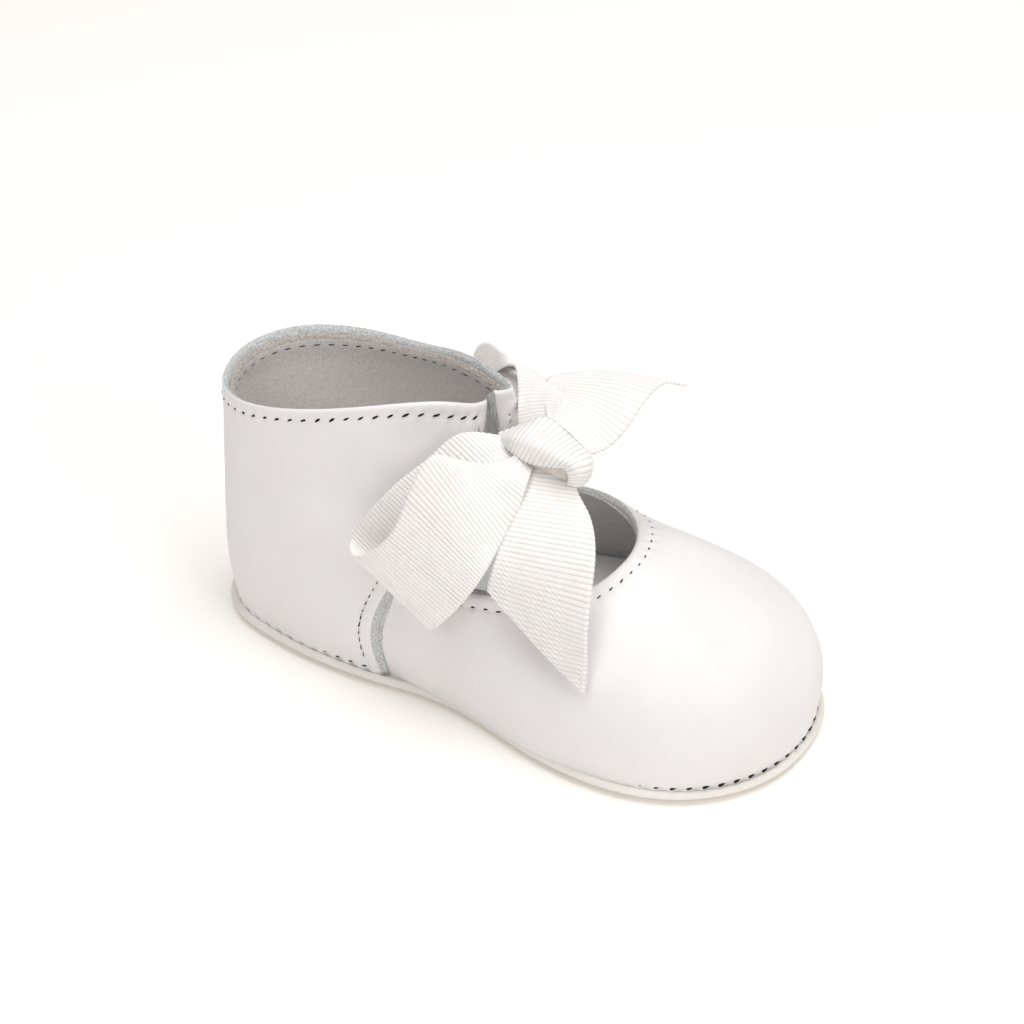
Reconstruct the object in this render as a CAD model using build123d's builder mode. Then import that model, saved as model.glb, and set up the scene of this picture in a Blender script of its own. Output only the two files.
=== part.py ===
"""Baby bootie: soft leather pram shoe with a ribbon bow.

Millimetres. +X points to the toe, +Y to the shoe's left side, +Z up. The
origin is on the ground under the middle of the sole. Lengthwise stations are
given as distances from the heel and shifted to the origin by MID_LENGTH.
"""
import os
from math import sqrt

from build123d import *

os.makedirs("parts", exist_ok=True)

# --------------------------------------------------------------------------
# Driving dimensions
# --------------------------------------------------------------------------
MID_LENGTH = 56.5           # heel station of the origin
LEATHER = 1.2               # upper leather thickness
LINING = 0.5                # textile lining thickness
PLY_GAP = 0.06              # air between two plies that lie on each other
SOLE_HEIGHT = 3.8           # height of the turned-up sole edge
SOLE_FLOOR = 1.6            # thickness of the sole under the foot
SOLE_WALL = 2.6             # width of the turned-up edge
SOLE_ROUND = 2.0            # rounding of the sole's ground edge
PAD_INSET = 4.8             # insole pad inside the sole outline
PAD_THICK = 3.4
COVER_THICK = 0.8
THREAD_RADIUS = 0.22
THREAD_LIFT = 0.34          # thread centre above the leather face
RIBBON_THICK = 0.6
BAND_Z = (38.5, 45.5)       # the ribbon where it runs through the ears
BAND_THICK = 0.8
SLOT_PLAY = 0.25            # slot larger than the ribbon all round
KNOT_CENTRE = (65.0, -1.6, 50.2)
KNOT_RADII = (6.2, 4.6, 4.3)

# Places on a face: u runs from 0 to 1 round the shoe, v from the seam to the cut edge
TOPLINE_V = 0.957           # stitch row under the rim of the collar
EAR_EDGE_U = 0.024          # stitch row beside the quarter's front edge
THROAT_V = 0.95             # stitch row round the throat
VAMP_SEAM_V = 0.02          # sole seam on the vamp
QUARTER_SEAM_V = 0.012      # sole seam on the quarter
LINING_V = (0.08, 0.985)    # height of the quarter lining
TOE_LINING_V = (0.1, 0.975)

# Widest line of the sole, right side from heel to toe, then the left side back
SOLE_RIGHT = [(-2.0, 0), (4.4, -12.5), (13.3, -16.2), (21.5, -18.1), (29, -18.9),
              (38, -19.1), (46, -19.1), (54, -20.1), (62, -22.3), (71, -25.0),
              (80, -26.4), (89, -26.1), (98, -23.8), (106.4, -18.0), (112.0, -9.6),
              (114.0, 0)]
SOLE_LEFT = [(112.7, 10.7), (107.2, 18.9), (99, 23.9), (89, 25.6), (80, 25.2),
             (71, 23.8), (62, 21.6), (54, 19.7), (46, 18.9), (38, 18.9), (29, 18.7),
             (21.5, 18.0), (13.3, 16.1), (4.4, 12.4)]

# Outer face of the quarter: seam-to-rim rows at each station round the heel
QUARTER_RIGHT = [
    [(38.2, -18.0, 4.2), (36.9, -18.9, 10), (38.9, -18.9, 19.5),
     (45.0, -15.4, 31.5), (49.4, -3.0, 40.5), (46.6, 4.3, 54.3)],
    [(34.0, -17.9, 4.1), (32.8, -18.8, 10), (34.3, -18.8, 20),
     (39.5, -16.6, 32), (47.4, -8.8, 43.2), (49.9, -0.6, 54.4)],
    [(28.5, -17.6, 4), (28.0, -18.5, 10), (29.0, -18.5, 20),
     (32.3, -17.0, 32), (40.0, -13.0, 44), (45.6, -7.3, 55.6)],
    [(21.5, -16.9, 4), (21.3, -17.7, 10), (21.8, -17.9, 20),
     (23.5, -17.3, 32), (27.5, -16.0, 43.5), (33.5, -12.9, 54.2)],
    [(13.8, -15.0, 4), (13.4, -15.9, 10), (13.4, -16.3, 20),
     (14.0, -16.4, 32), (15.5, -16.4, 42.8), (19.0, -16.3, 51.4)],
    [(5.4, -11.6, 4), (4.4, -12.2, 10), (4.2, -12.3, 20),
     (4.8, -12.4, 32), (5.6, -12.7, 42), (6.4, -13.1, 50.6)],
]
QUARTER_HEEL = [(-0.8, 0, 4), (-1.6, 0, 10), (-1.6, 0, 20),
                (-1.0, 0, 32), (-0.3, 0, 42), (0.2, 0, 50.7)]
# The left ear laps over the right one, so its last stations differ
QUARTER_LEFT_EAR = [
    [(28.5, 17.6, 4), (28.0, 18.5, 10), (29.0, 18.5, 20),
     (32.5, 17.0, 32), (40.5, 13.0, 44.2), (44.6, 8.6, 57.0)],
    [(34.0, 17.9, 4.1), (32.8, 18.8, 10), (34.3, 18.8, 20),
     (40.0, 16.7, 32), (48.6, 9.9, 43.5), (49.5, 5.4, 57.0)],
    [(38.2, 18.0, 4.2), (36.9, 18.9, 10), (38.9, 18.9, 19.5),
     (46.5, 15.9, 31.5), (51.8, 5.6, 41.5), (51.5, 1.6, 56.3)],
]

# Vamp: seam line and throat edge, right side from back to toe, then left
SEAM_Z = 4.0
VAMP_SEAM_RIGHT = [(33.5, -16.1), (39, -16.4), (46, -17.4), (54, -18.6), (62, -20.9),
                   (71, -23.6), (80, -25.0), (89, -24.7), (98, -22.4),
                   (105.8, -16.8), (110.9, -9.0), (112.8, 0)]
VAMP_SEAM_LEFT = [(111.4, 10.2), (106.2, 18.0), (98, 22.6), (89, 24.2), (80, 23.8),
                  (71, 22.4), (62, 20.2), (54, 18.2), (46, 17.2), (39, 16.4),
                  (33.5, 16.1)]
THROAT_RIGHT = [(33.5, -16.6, 16), (38.5, -17.1, 19.8), (45, -18.0, 23.5),
                (51.5, -18.4, 26.3), (57.5, -18.6, 28.0), (63.5, -18.3, 29.0),
                (68.7, -16.8, 29.4), (72.7, -14.0, 29.6), (75.6, -10.0, 30.0),
                (77.3, -5.8, 30.5), (78.1, -2.4, 30.9), (78.3, 0, 31.0)]

# Ribbon runs as pairs of edge points (heel-side edge, toe-side edge)
NEAR_LOOP = [
    ((58.6, -7.6, 51.2), (61.8, -8.2, 47.6)), ((57.0, -11.0, 51.5), (64.0, -11.4, 47.6)),
    ((53.6, -15.5, 53.1), (63.7, -15.0, 43.5)), ((50.6, -19.0, 54.6), (62.9, -19.4, 40.2)),
    ((48.2, -22.0, 50.5), (62.2, -22.6, 37.5)), ((45.8, -24.3, 42.1), (60.3, -24.6, 33.3)),
    ((42.4, -25.2, 37.1), (57.0, -25.8, 28.3)), ((36.8, -24.2, 33.0), (52.4, -25.2, 23.1)),
    ((35.1, -21.6, 33.3), (51.3, -22.6, 22.6)), ((37.8, -19.6, 39.3), (53.7, -20.6, 28.6)),
    ((43.1, -16.2, 45.0), (58.6, -18.0, 35.6)), ((47.0, -12.5, 48.3), (60.6, -14.5, 40.5)),
    ((51.6, -9.6, 49.5), (60.6, -11.0, 44.6)), ((55.0, -7.4, 48.9), (60.2, -8.2, 46.2)),
]
NEAR_TAIL = [
    ((62.6, -7.6, 44.2), (68.4, -7.2, 45.6)), ((62.9, -9.6, 44.0), (70.9, -8.6, 45.0)),
    ((63.4, -13.0, 41.8), (75.0, -11.4, 44.2)), ((63.6, -16.6, 37.6), (78.4, -15.4, 42.0)),
    ((63.2, -19.6, 33.6), (80.2, -18.9, 38.4)), ((62.6, -22.0, 32.2), (81.1, -22.0, 32.0)),
    ((62.8, -22.8, 31.6), (81.9, -24.8, 20.9)),
]
FAR_LOOP = [
    ((57.6, 4.6, 51.4), (61.2, 5.2, 48.0)), ((55.6, 8.0, 52.6), (62.0, 8.6, 47.6)),
    ((51.6, 12.5, 54.4), (62.4, 13.2, 45.5)), ((48.2, 16.5, 55.4), (61.2, 17.6, 42.2)),
    ((44.6, 20.2, 52.4), (59.4, 21.6, 38.5)), ((41.4, 23.2, 46.0), (56.4, 24.6, 33.3)),
    ((38.0, 24.4, 39.6), (53.4, 25.4, 28.3)), ((34.4, 23.4, 35.2), (50.4, 24.6, 24.1)),
    ((33.5, 20.8, 35.6), (49.9, 22.0, 23.8)), ((35.8, 19.4, 40.6), (51.7, 20.4, 29.6)),
    ((40.1, 17.0, 46.6), (56.0, 17.6, 36.6)), ((44.6, 14.0, 50.2), (58.6, 14.4, 41.5)),
    ((49.6, 10.6, 50.9), (59.6, 11.0, 45.0)), ((53.8, 7.0, 50.1), (59.4, 7.4, 46.8)),
]
FAR_TAIL = [
    ((63.6, 4.6, 53.2), (70.2, 4.4, 50.0)), ((61.6, 6.8, 54.2), (71.6, 6.2, 49.4)),
    ((58.8, 11.0, 54.4), (73.4, 10.0, 49.2)), ((57.6, 15.4, 53.4), (74.0, 14.6, 50.6)),
    ((57.2, 18.4, 52.6), (75.0, 19.0, 52.6)), ((57.4, 19.2, 52.4), (78.0, 23.6, 52.8)),
]
BAND_PATH = [(60.6, -2.6), (56.5, -5.2), (51.2, -6.6), (47.6, -5.0), (45.6, -1.6),
             (44.6, 3.0), (44.9, 7.6), (49.2, 11.4), (54.6, 8.4), (60.6, 1.2)]


# --------------------------------------------------------------------------
# Construction helpers
# --------------------------------------------------------------------------
def place(p):
    """Station measured from the heel to a point in the part's frame."""
    return (p[0] - MID_LENGTH, *p[1:])


def mirrored(points):
    """The same stations on the other side, in reverse order."""
    return [(x, -y, *z) for x, y, *z in reversed(points)]


def curve_through(points, count):
    """Evenly spread points on the natural cubic spline through the given ones."""
    n = len(points)
    knots = [0.0]
    for a, b in zip(points, points[1:]):
        knots.append(knots[-1] + sqrt(sum((q - p) ** 2 for p, q in zip(a, b))))
    gap = [knots[i + 1] - knots[i] for i in range(n - 1)]
    bend = [[0.0] * n for _ in range(3)]
    for k in range(3):
        slope = [(points[i + 1][k] - points[i][k]) / gap[i] for i in range(n - 1)]
        upper, right = [0.0] * n, [0.0] * n
        for i in range(1, n - 1):
            pivot = 2 * (gap[i - 1] + gap[i]) - gap[i - 1] * upper[i - 1]
            upper[i] = gap[i] / pivot
            right[i] = (6 * (slope[i] - slope[i - 1]) - gap[i - 1] * right[i - 1]) / pivot
        for i in range(n - 2, 0, -1):
            bend[k][i] = right[i] - upper[i] * bend[k][i + 1]
    out = []
    for s in span(0, knots[-1], count):
        i = max(j for j in range(n - 1) if knots[j] <= s or j == 0)
        a, b, h = (knots[i + 1] - s) / gap[i], (s - knots[i]) / gap[i], gap[i]
        out.append(tuple(a * points[i][k] + b * points[i + 1][k]
                         + ((a ** 3 - a) * bend[k][i] + (b ** 3 - b) * bend[k][i + 1]) * h * h / 6
                         for k in range(3)))
    return out


def face_through(grid, across=49, along=17):
    """Smooth face through a coarse grid of stations."""
    rows = [curve_through(row, along) for row in grid]
    columns = [curve_through([row[j] for row in rows], across) for j in range(along)]
    pts = [[Vector(*place(column[i])) for column in columns] for i in range(across)]
    return Face.make_surface_from_array_of_points(pts, tol=0.01, min_deg=3, max_deg=5)


def span(first, last, count):
    """Evenly spaced values from first to last."""
    return [first + (last - first) * i / (count - 1) for i in range(count)]


def outward_sign(face):
    """+1 when the face's own normal points out of the shoe, -1 when it points in."""
    spot = face.position_at(0.5, 0.3)
    away = Vector(spot.X + MID_LENGTH / 2 - 14, 0, 0)
    return 1 if face.normal_at(spot).dot(away) > 0 else -1


def point_on(face, u, v, lift):
    """Point of a face moved out of the shoe along the face's normal."""
    spot = face.position_at(u, v)
    return spot + face.normal_at(spot) * (outward_sign(face) * lift)


def inner_face(face, depth, margin, vs, count):
    """Face that runs at a depth behind another one; margin gives its end gap at each v."""
    pts = [[point_on(face, margin(v) + (1 - 2 * margin(v)) * s, v, -depth) for v in vs]
           for s in span(0, 1, count)]
    return Face.make_surface_from_array_of_points(pts, tol=0.01, min_deg=3, max_deg=5)


def ply(face, thickness):
    """Solid sheet from a face, thickened towards the inside of the shoe."""
    return Solid.thicken(face, -outward_sign(face) * thickness)


def thread(points):
    """Round thread along a smooth path."""
    with BuildPart() as strand:
        with BuildLine() as path:
            Spline(*points)
        with BuildSketch(Plane(origin=path.line @ 0, z_dir=path.line % 0)):
            Circle(THREAD_RADIUS)
        sweep()
    return strand.part


def vamp_profiles(seam, edge, steps=9):
    """Rounded profiles that rise from the seam line and turn in to the throat edge."""
    rows = []
    for i, (b, t) in enumerate(zip(seam, edge)):
        before, after = seam[max(i - 1, 0)], seam[min(i + 1, len(seam) - 1)]
        along = (after[0] - before[0], after[1] - before[1])
        size = sqrt(along[0] ** 2 + along[1] ** 2)
        out = (along[1] / size, -along[0] / size)
        reach = sqrt((t[0] - b[0]) ** 2 + (t[1] - b[1]) ** 2)
        fold = min(reach / 30, 1)
        rise = t[2] - b[2]
        back = (-(t[0] - b[0]) / reach, -(t[1] - b[1]) / reach)
        bulge = min(2.6, 0.9 + 0.12 * (b[0] - seam[0][0])) + 1.9 * fold
        lower = (b[0] + out[0] * bulge, b[1] + out[1] * bulge,
                 b[2] + rise * (0.42 + 0.16 * fold))
        upper = (t[0] + back[0] * reach * 0.56 * fold, t[1] + back[1] * reach * 0.56 * fold,
                 t[2] - rise * 0.34 * (1 - fold) - 0.6 * fold)
        rows.append([tuple((1 - s) ** 3 * p + 3 * (1 - s) ** 2 * s * q
                           + 3 * (1 - s) * s * s * r + s ** 3 * w
                           for p, q, r, w in zip(b, lower, upper, t))
                     for s in span(0, 1, steps)])
    return rows


# --------------------------------------------------------------------------
# Faces that the plies are built on
# --------------------------------------------------------------------------
quarter_face = face_through(
    QUARTER_RIGHT + [QUARTER_HEEL]
    + [mirrored(row)[::-1] for row in QUARTER_RIGHT[:2:-1]] + QUARTER_LEFT_EAR)
vamp_seam = [(x, y, SEAM_Z) for x, y in VAMP_SEAM_RIGHT + VAMP_SEAM_LEFT]
vamp_face = face_through(vamp_profiles(vamp_seam, THROAT_RIGHT + mirrored(THROAT_RIGHT[:-1])), 61)


# --------------------------------------------------------------------------
# Sole unit
# --------------------------------------------------------------------------
def sole_line(inset):
    """Closed outline of the sole, moved inwards by an inset."""
    pts = [place(p) for p in SOLE_RIGHT + SOLE_LEFT]
    out = []
    for i, p in enumerate(pts):
        before, after = pts[i - 1], pts[(i + 1) % len(pts)]
        along = (after[0] - before[0], after[1] - before[1])
        size = sqrt(along[0] ** 2 + along[1] ** 2)
        out.append((p[0] - along[1] / size * inset, p[1] + along[0] / size * inset))
    return out


# Height and inset of the sole's outline, from the ground to the end of its rounding
sole_rings = [(0, SOLE_ROUND), (SOLE_ROUND * 0.45, SOLE_ROUND * 0.25), (SOLE_ROUND, 0)]

with BuildPart() as outsole:
    for pair in zip(sole_rings, sole_rings[1:]):
        for z, inset in pair:
            with BuildSketch(Plane.XY.offset(z)):
                with BuildLine():
                    Spline(*sole_line(inset), periodic=True)
                make_face()
        loft(ruled=True)
    with BuildSketch(Plane.XY.offset(SOLE_ROUND)):
        with BuildLine():
            Spline(*sole_line(0), periodic=True)
        make_face()
    extrude(amount=SOLE_HEIGHT - SOLE_ROUND)
    with BuildSketch(Plane.XY.offset(SOLE_FLOOR)):
        with BuildLine():
            Spline(*sole_line(SOLE_WALL), periodic=True)
        make_face()
    extrude(amount=SOLE_HEIGHT, mode=Mode.SUBTRACT)
outsole.part.label = "outsole"
export_step(outsole.part, "parts/outsole.step")

with BuildPart() as insole_pad:
    with BuildSketch(Plane.XY.offset(SOLE_FLOOR + PLY_GAP)):
        with BuildLine():
            Spline(*sole_line(PAD_INSET), periodic=True)
        make_face()
    extrude(amount=PAD_THICK)
insole_pad.part.label = "insole_pad"
export_step(insole_pad.part, "parts/insole_pad.step")

with BuildPart() as insole_cover:
    with BuildSketch(Plane.XY.offset(SOLE_FLOOR + PAD_THICK + 2 * PLY_GAP)):
        with BuildLine():
            Spline(*sole_line(PAD_INSET), periodic=True)
        make_face()
    extrude(amount=COVER_THICK)
insole_cover.part.label = "insole_cover"
export_step(insole_cover.part, "parts/insole_cover.step")

# --------------------------------------------------------------------------
# Upper
# --------------------------------------------------------------------------
band_points = [place(p) for p in BAND_PATH]

with BuildPart() as slot_tool:
    with BuildSketch(Plane.XY.offset(BAND_Z[0] - SLOT_PLAY)):
        with BuildLine() as band_line:
            Spline(*band_points)
        trace(line_width=BAND_THICK + 2 * SLOT_PLAY)
    extrude(amount=BAND_Z[1] - BAND_Z[0] + 2 * SLOT_PLAY)


def ear_margin(v):
    """The quarter lining stops behind the vamp low down and runs into the ears above."""
    t = min(max((v - 0.45) / 0.3, 0), 1)
    return 0.15 - 0.125 * t * t * (3 - 2 * t)


with BuildPart() as quarter:
    add(ply(quarter_face, LEATHER))
    add(slot_tool.part, mode=Mode.SUBTRACT)
quarter.part.label = "quarter"
export_step(quarter.part, "parts/quarter.step")

with BuildPart() as quarter_lining:
    add(ply(inner_face(quarter_face, LEATHER + PLY_GAP, ear_margin, span(*LINING_V, 21), 43),
            LINING))
    add(slot_tool.part, mode=Mode.SUBTRACT)
quarter_lining.part.label = "quarter_lining"
export_step(quarter_lining.part, "parts/quarter_lining.step")

with BuildPart() as vamp:
    add(ply(vamp_face, LEATHER))
vamp.part.label = "vamp"
export_step(vamp.part, "parts/vamp.step")

with BuildPart() as vamp_lining:
    add(ply(inner_face(vamp_face, LEATHER + PLY_GAP, lambda v: 0.01, span(*TOE_LINING_V, 15), 53),
            LINING))
vamp_lining.part.label = "vamp_lining"
export_step(vamp_lining.part, "parts/vamp_lining.step")

# --------------------------------------------------------------------------
# Stitching
# --------------------------------------------------------------------------
with BuildPart() as topline_stitching:
    add(thread([point_on(quarter_face, u, TOPLINE_V, THREAD_LIFT) for u in span(0.06, 0.94, 90)]))
topline_stitching.part.label = "topline_stitching"
export_step(topline_stitching.part, "parts/topline_stitching.step")

with BuildPart() as near_edge_stitching:
    add(thread([point_on(quarter_face, EAR_EDGE_U, v, THREAD_LIFT) for v in span(0.04, 0.6, 12)]))
near_edge_stitching.part.label = "near_edge_stitching"
export_step(near_edge_stitching.part, "parts/near_edge_stitching.step")

with BuildPart() as far_edge_stitching:
    add(thread([point_on(quarter_face, 1 - EAR_EDGE_U, v, THREAD_LIFT) for v in span(0.04, 0.6, 12)]))
far_edge_stitching.part.label = "far_edge_stitching"
export_step(far_edge_stitching.part, "parts/far_edge_stitching.step")

with BuildPart() as throat_stitching:
    add(thread([point_on(vamp_face, u, THROAT_V, THREAD_LIFT) for u in span(0.16, 0.84, 40)]))
throat_stitching.part.label = "throat_stitching"
export_step(throat_stitching.part, "parts/throat_stitching.step")

with BuildPart() as sole_stitching:
    add(thread([point_on(vamp_face, u, VAMP_SEAM_V, THREAD_LIFT) for u in span(0.07, 0.93, 60)]))
    add(thread([point_on(quarter_face, u, QUARTER_SEAM_V, THREAD_LIFT) for u in span(0.03, 0.97, 40)]))
sole_stitching.part.label = "sole_stitching"
export_step(sole_stitching.part, "parts/sole_stitching.step")

# --------------------------------------------------------------------------
# Ribbon bow
# --------------------------------------------------------------------------
with BuildPart() as ribbon_band:
    with BuildSketch(Plane.XY.offset(BAND_Z[0])):
        with BuildLine():
            Spline(*band_points)
        trace(line_width=BAND_THICK)
    extrude(amount=BAND_Z[1] - BAND_Z[0])
ribbon_band.part.label = "ribbon_band"
export_step(ribbon_band.part, "parts/ribbon_band.step")

with BuildPart() as knot_blank:
    with BuildSketch(Plane.XZ):
        with BuildLine():
            RadiusArc((-KNOT_RADII[0], 0), (KNOT_RADII[0], 0), KNOT_RADII[0])
            Line((KNOT_RADII[0], 0), (-KNOT_RADII[0], 0))
        make_face()
    revolve(axis=Axis.X)
knot_shape = scale(knot_blank.part, by=(1, KNOT_RADII[1] / KNOT_RADII[0],
                                        KNOT_RADII[2] / KNOT_RADII[0]))
with BuildPart() as ribbon_knot:
    with Locations(place(KNOT_CENTRE)):
        add(knot_shape)
ribbon_knot.part.label = "ribbon_knot"
export_step(ribbon_knot.part, "parts/ribbon_knot.step")


def ribbon(edges, across):
    """Ribbon run lofted through pairs of edge points, with its thickness."""
    heel_side = [Vector(*place(p)) for p in curve_through([a for a, b in edges], across)]
    toe_side = [Vector(*place(p)) for p in curve_through([b for a, b in edges], across)]
    sections = []
    for i, (a, b) in enumerate(zip(heel_side, toe_side)):
        j, k = max(i - 1, 0), min(i + 1, across - 1)
        along = (heel_side[k] + toe_side[k]) - (heel_side[j] + toe_side[j])
        half = along.cross(b - a).normalized() * (RIBBON_THICK / 2)
        sections.append(Wire.make_polygon([a + half, b + half, b - half, a - half]))
    return Solid.make_loft(sections, ruled=True)


with BuildPart() as near_loop:
    add(ribbon(NEAR_LOOP, 41))
near_loop.part.label = "near_loop"
export_step(near_loop.part, "parts/near_loop.step")

with BuildPart() as far_loop:
    add(ribbon(FAR_LOOP, 41))
far_loop.part.label = "far_loop"
export_step(far_loop.part, "parts/far_loop.step")

with BuildPart() as near_tail:
    add(ribbon(NEAR_TAIL, 17))
near_tail.part.label = "near_tail"
export_step(near_tail.part, "parts/near_tail.step")

with BuildPart() as far_tail:
    add(ribbon(FAR_TAIL, 15))
far_tail.part.label = "far_tail"
export_step(far_tail.part, "parts/far_tail.step")
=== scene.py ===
"""Baby bootie: soft white leather upper and sole, grey lining and an ivory grosgrain bow.

Lengths inside the classes are in millimetres and stations along the shoe are
measured from the heel, as a shoemaker measures a last; place moves them into
the part's own frame, and Patchwork.build turns millimetres into metres.
"""
import logging
from dataclasses import dataclass, field
from enum import Enum
from typing import Callable, Sequence

import bmesh
import bpy
import numpy as np
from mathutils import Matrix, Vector

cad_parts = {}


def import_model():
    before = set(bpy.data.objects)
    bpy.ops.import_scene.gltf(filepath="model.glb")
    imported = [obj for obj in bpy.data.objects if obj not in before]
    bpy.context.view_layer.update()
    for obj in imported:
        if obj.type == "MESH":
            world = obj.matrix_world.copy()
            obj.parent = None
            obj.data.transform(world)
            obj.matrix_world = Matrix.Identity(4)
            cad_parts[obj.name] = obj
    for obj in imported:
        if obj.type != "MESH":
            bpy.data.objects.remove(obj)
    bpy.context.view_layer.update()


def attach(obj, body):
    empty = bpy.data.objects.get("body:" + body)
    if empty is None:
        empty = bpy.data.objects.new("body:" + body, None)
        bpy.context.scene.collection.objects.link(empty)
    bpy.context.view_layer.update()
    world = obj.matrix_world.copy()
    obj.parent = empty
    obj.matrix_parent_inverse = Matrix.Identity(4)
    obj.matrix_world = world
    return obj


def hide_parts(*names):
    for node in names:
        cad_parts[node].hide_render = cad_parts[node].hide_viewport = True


LOG = logging.getLogger("bootie")
Array = np.ndarray
MM = 0.001          # metres in a millimetre
MID_LENGTH = 56.5   # station of the part's origin, in millimetres from the heel
RIB_MM = 0.88       # pitch of the ribbon's cross ribs
LATTICE = 128       # side of the noise's wrapped table


# --------------------------------------------------------------------------
# Numerical helpers
# --------------------------------------------------------------------------
def spline_weights(knots: Array, at: Array) -> Array:
    """Weights of the natural cubic spline: value(at) = weights @ value(knots).

    The spline's second derivative is continuous and is zero at both ends.

    Args:
        knots: increasing parameter values of the given points.
        at: parameter values to evaluate at.

    Returns:
        Matrix with one row for each value of at and one column for each knot.
    """
    n, h = len(knots), np.diff(knots)
    system, right = np.zeros((n, n)), np.zeros((n, n))
    system[0, 0] = system[-1, -1] = 1
    i = np.arange(1, n - 1)
    system[i, i - 1], system[i, i], system[i, i + 1] = h[:-1], 2 * (h[:-1] + h[1:]), h[1:]
    right[i, i - 1], right[i, i + 1] = 6 / h[:-1], 6 / h[1:]
    right[i, i] = -6 / h[:-1] - 6 / h[1:]
    bend = np.linalg.solve(system, right)
    k = np.clip(np.searchsorted(knots, at, side="right") - 1, 0, n - 2)
    a, b = (knots[k + 1] - at) / h[k], (at - knots[k]) / h[k]
    weights = np.zeros((len(at), n))
    rows = np.arange(len(at))
    weights[rows, k] += a
    weights[rows, k + 1] += b
    weights += ((a ** 3 - a) * h[k] ** 2 / 6)[:, None] * bend[k]
    weights += ((b ** 3 - b) * h[k] ** 2 / 6)[:, None] * bend[k + 1]
    return weights


def chord(points: Array) -> Array:
    """Chord length along the first axis, as a fraction of the whole.

    Args:
        points: a curve, or a grid whose columns are averaged.

    Returns:
        One value from 0 to 1 for each row.
    """
    step = np.linalg.norm(np.diff(points, axis=0), axis=-1)
    step = step.mean(axis=1) if step.ndim > 1 else step
    return np.concatenate([[0], np.cumsum(step)]) / step.sum()


def curve_through(points: Sequence, count: int, at: Array | None = None) -> Array:
    """Natural cubic spline through the points, over their chord length.

    Args:
        points: the points to pass through.
        count: number of even steps, if no values are given.
        at: values from 0 to 1 to evaluate at.

    Returns:
        The curve's points.
    """
    pts = np.asarray(points, float)
    s = np.linspace(0, 1, count) if at is None else at
    return spline_weights(chord(pts), s) @ pts


def surface_through(grid: Array, u: Array, v: Array) -> Array:
    """Tensor product of natural cubic splines through a coarse grid of stations.

    Args:
        grid: stations, rows by columns by 3.
        u: values from 0 to 1 along the rows.
        v: values from 0 to 1 along the columns.

    Returns:
        Fine grid of points, u by v by 3.
    """
    wu = spline_weights(chord(grid), u)
    wv = spline_weights(chord(grid.transpose(1, 0, 2)), v)
    return np.einsum("ai,bj,ijk->abk", wu, wv, grid)


def unit(vectors: Array) -> Array:
    """Vectors scaled to length 1."""
    return vectors / np.maximum(np.linalg.norm(vectors, axis=-1, keepdims=True), 1e-12)


def normals(points: Array) -> Array:
    """Unit normals of a grid: cross product of its two parameter directions."""
    return unit(np.cross(np.gradient(points, axis=0), np.gradient(points, axis=1)))


def arc(points: Array, axis: int) -> Array:
    """Running length of a grid along one of its axes, in the points' own unit.

    Args:
        points: grid of points.
        axis: the axis to run along.

    Returns:
        Length from the first point, at every point of the grid.
    """
    step = np.linalg.norm(np.diff(points, axis=axis), axis=-1)
    zero = np.zeros_like(np.take(step, [0], axis=axis))
    return np.concatenate([zero, np.cumsum(step, axis=axis)], axis=axis)


def smooth(x: Array, low: float, high: float) -> Array:
    """Smooth step from 0 at low to 1 at high: 3t^2 - 2t^3."""
    t = np.clip((x - low) / (high - low), 0, 1)
    return t * t * (3 - 2 * t)


def noise(x: Array, y: Array, seed: int) -> Array:
    """Smooth noise from -1 to 1 with features one unit across.

    Random values on a wrapped square lattice are blended with the quintic
    6t^5 - 15t^4 + 10t^3 in both directions.

    Args:
        x: first coordinate.
        y: second coordinate.
        seed: seed of the table.

    Returns:
        A value for each pair of coordinates.
    """
    table = np.random.default_rng(seed).uniform(-1, 1, (LATTICE, LATTICE))
    ix, iy = np.floor(x).astype(int), np.floor(y).astype(int)
    fx, fy = x - ix, y - iy
    fx, fy = (f ** 3 * (f * (6 * f - 15) + 10) for f in (fx, fy))
    ix, iy, jx, jy = (k % LATTICE for k in (ix, iy, ix + 1, iy + 1))
    low = table[ix, iy] * (1 - fx) + table[jx, iy] * fx
    high = table[ix, jy] * (1 - fx) + table[jx, jy] * fx
    return low * (1 - fy) + high * fy


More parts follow.
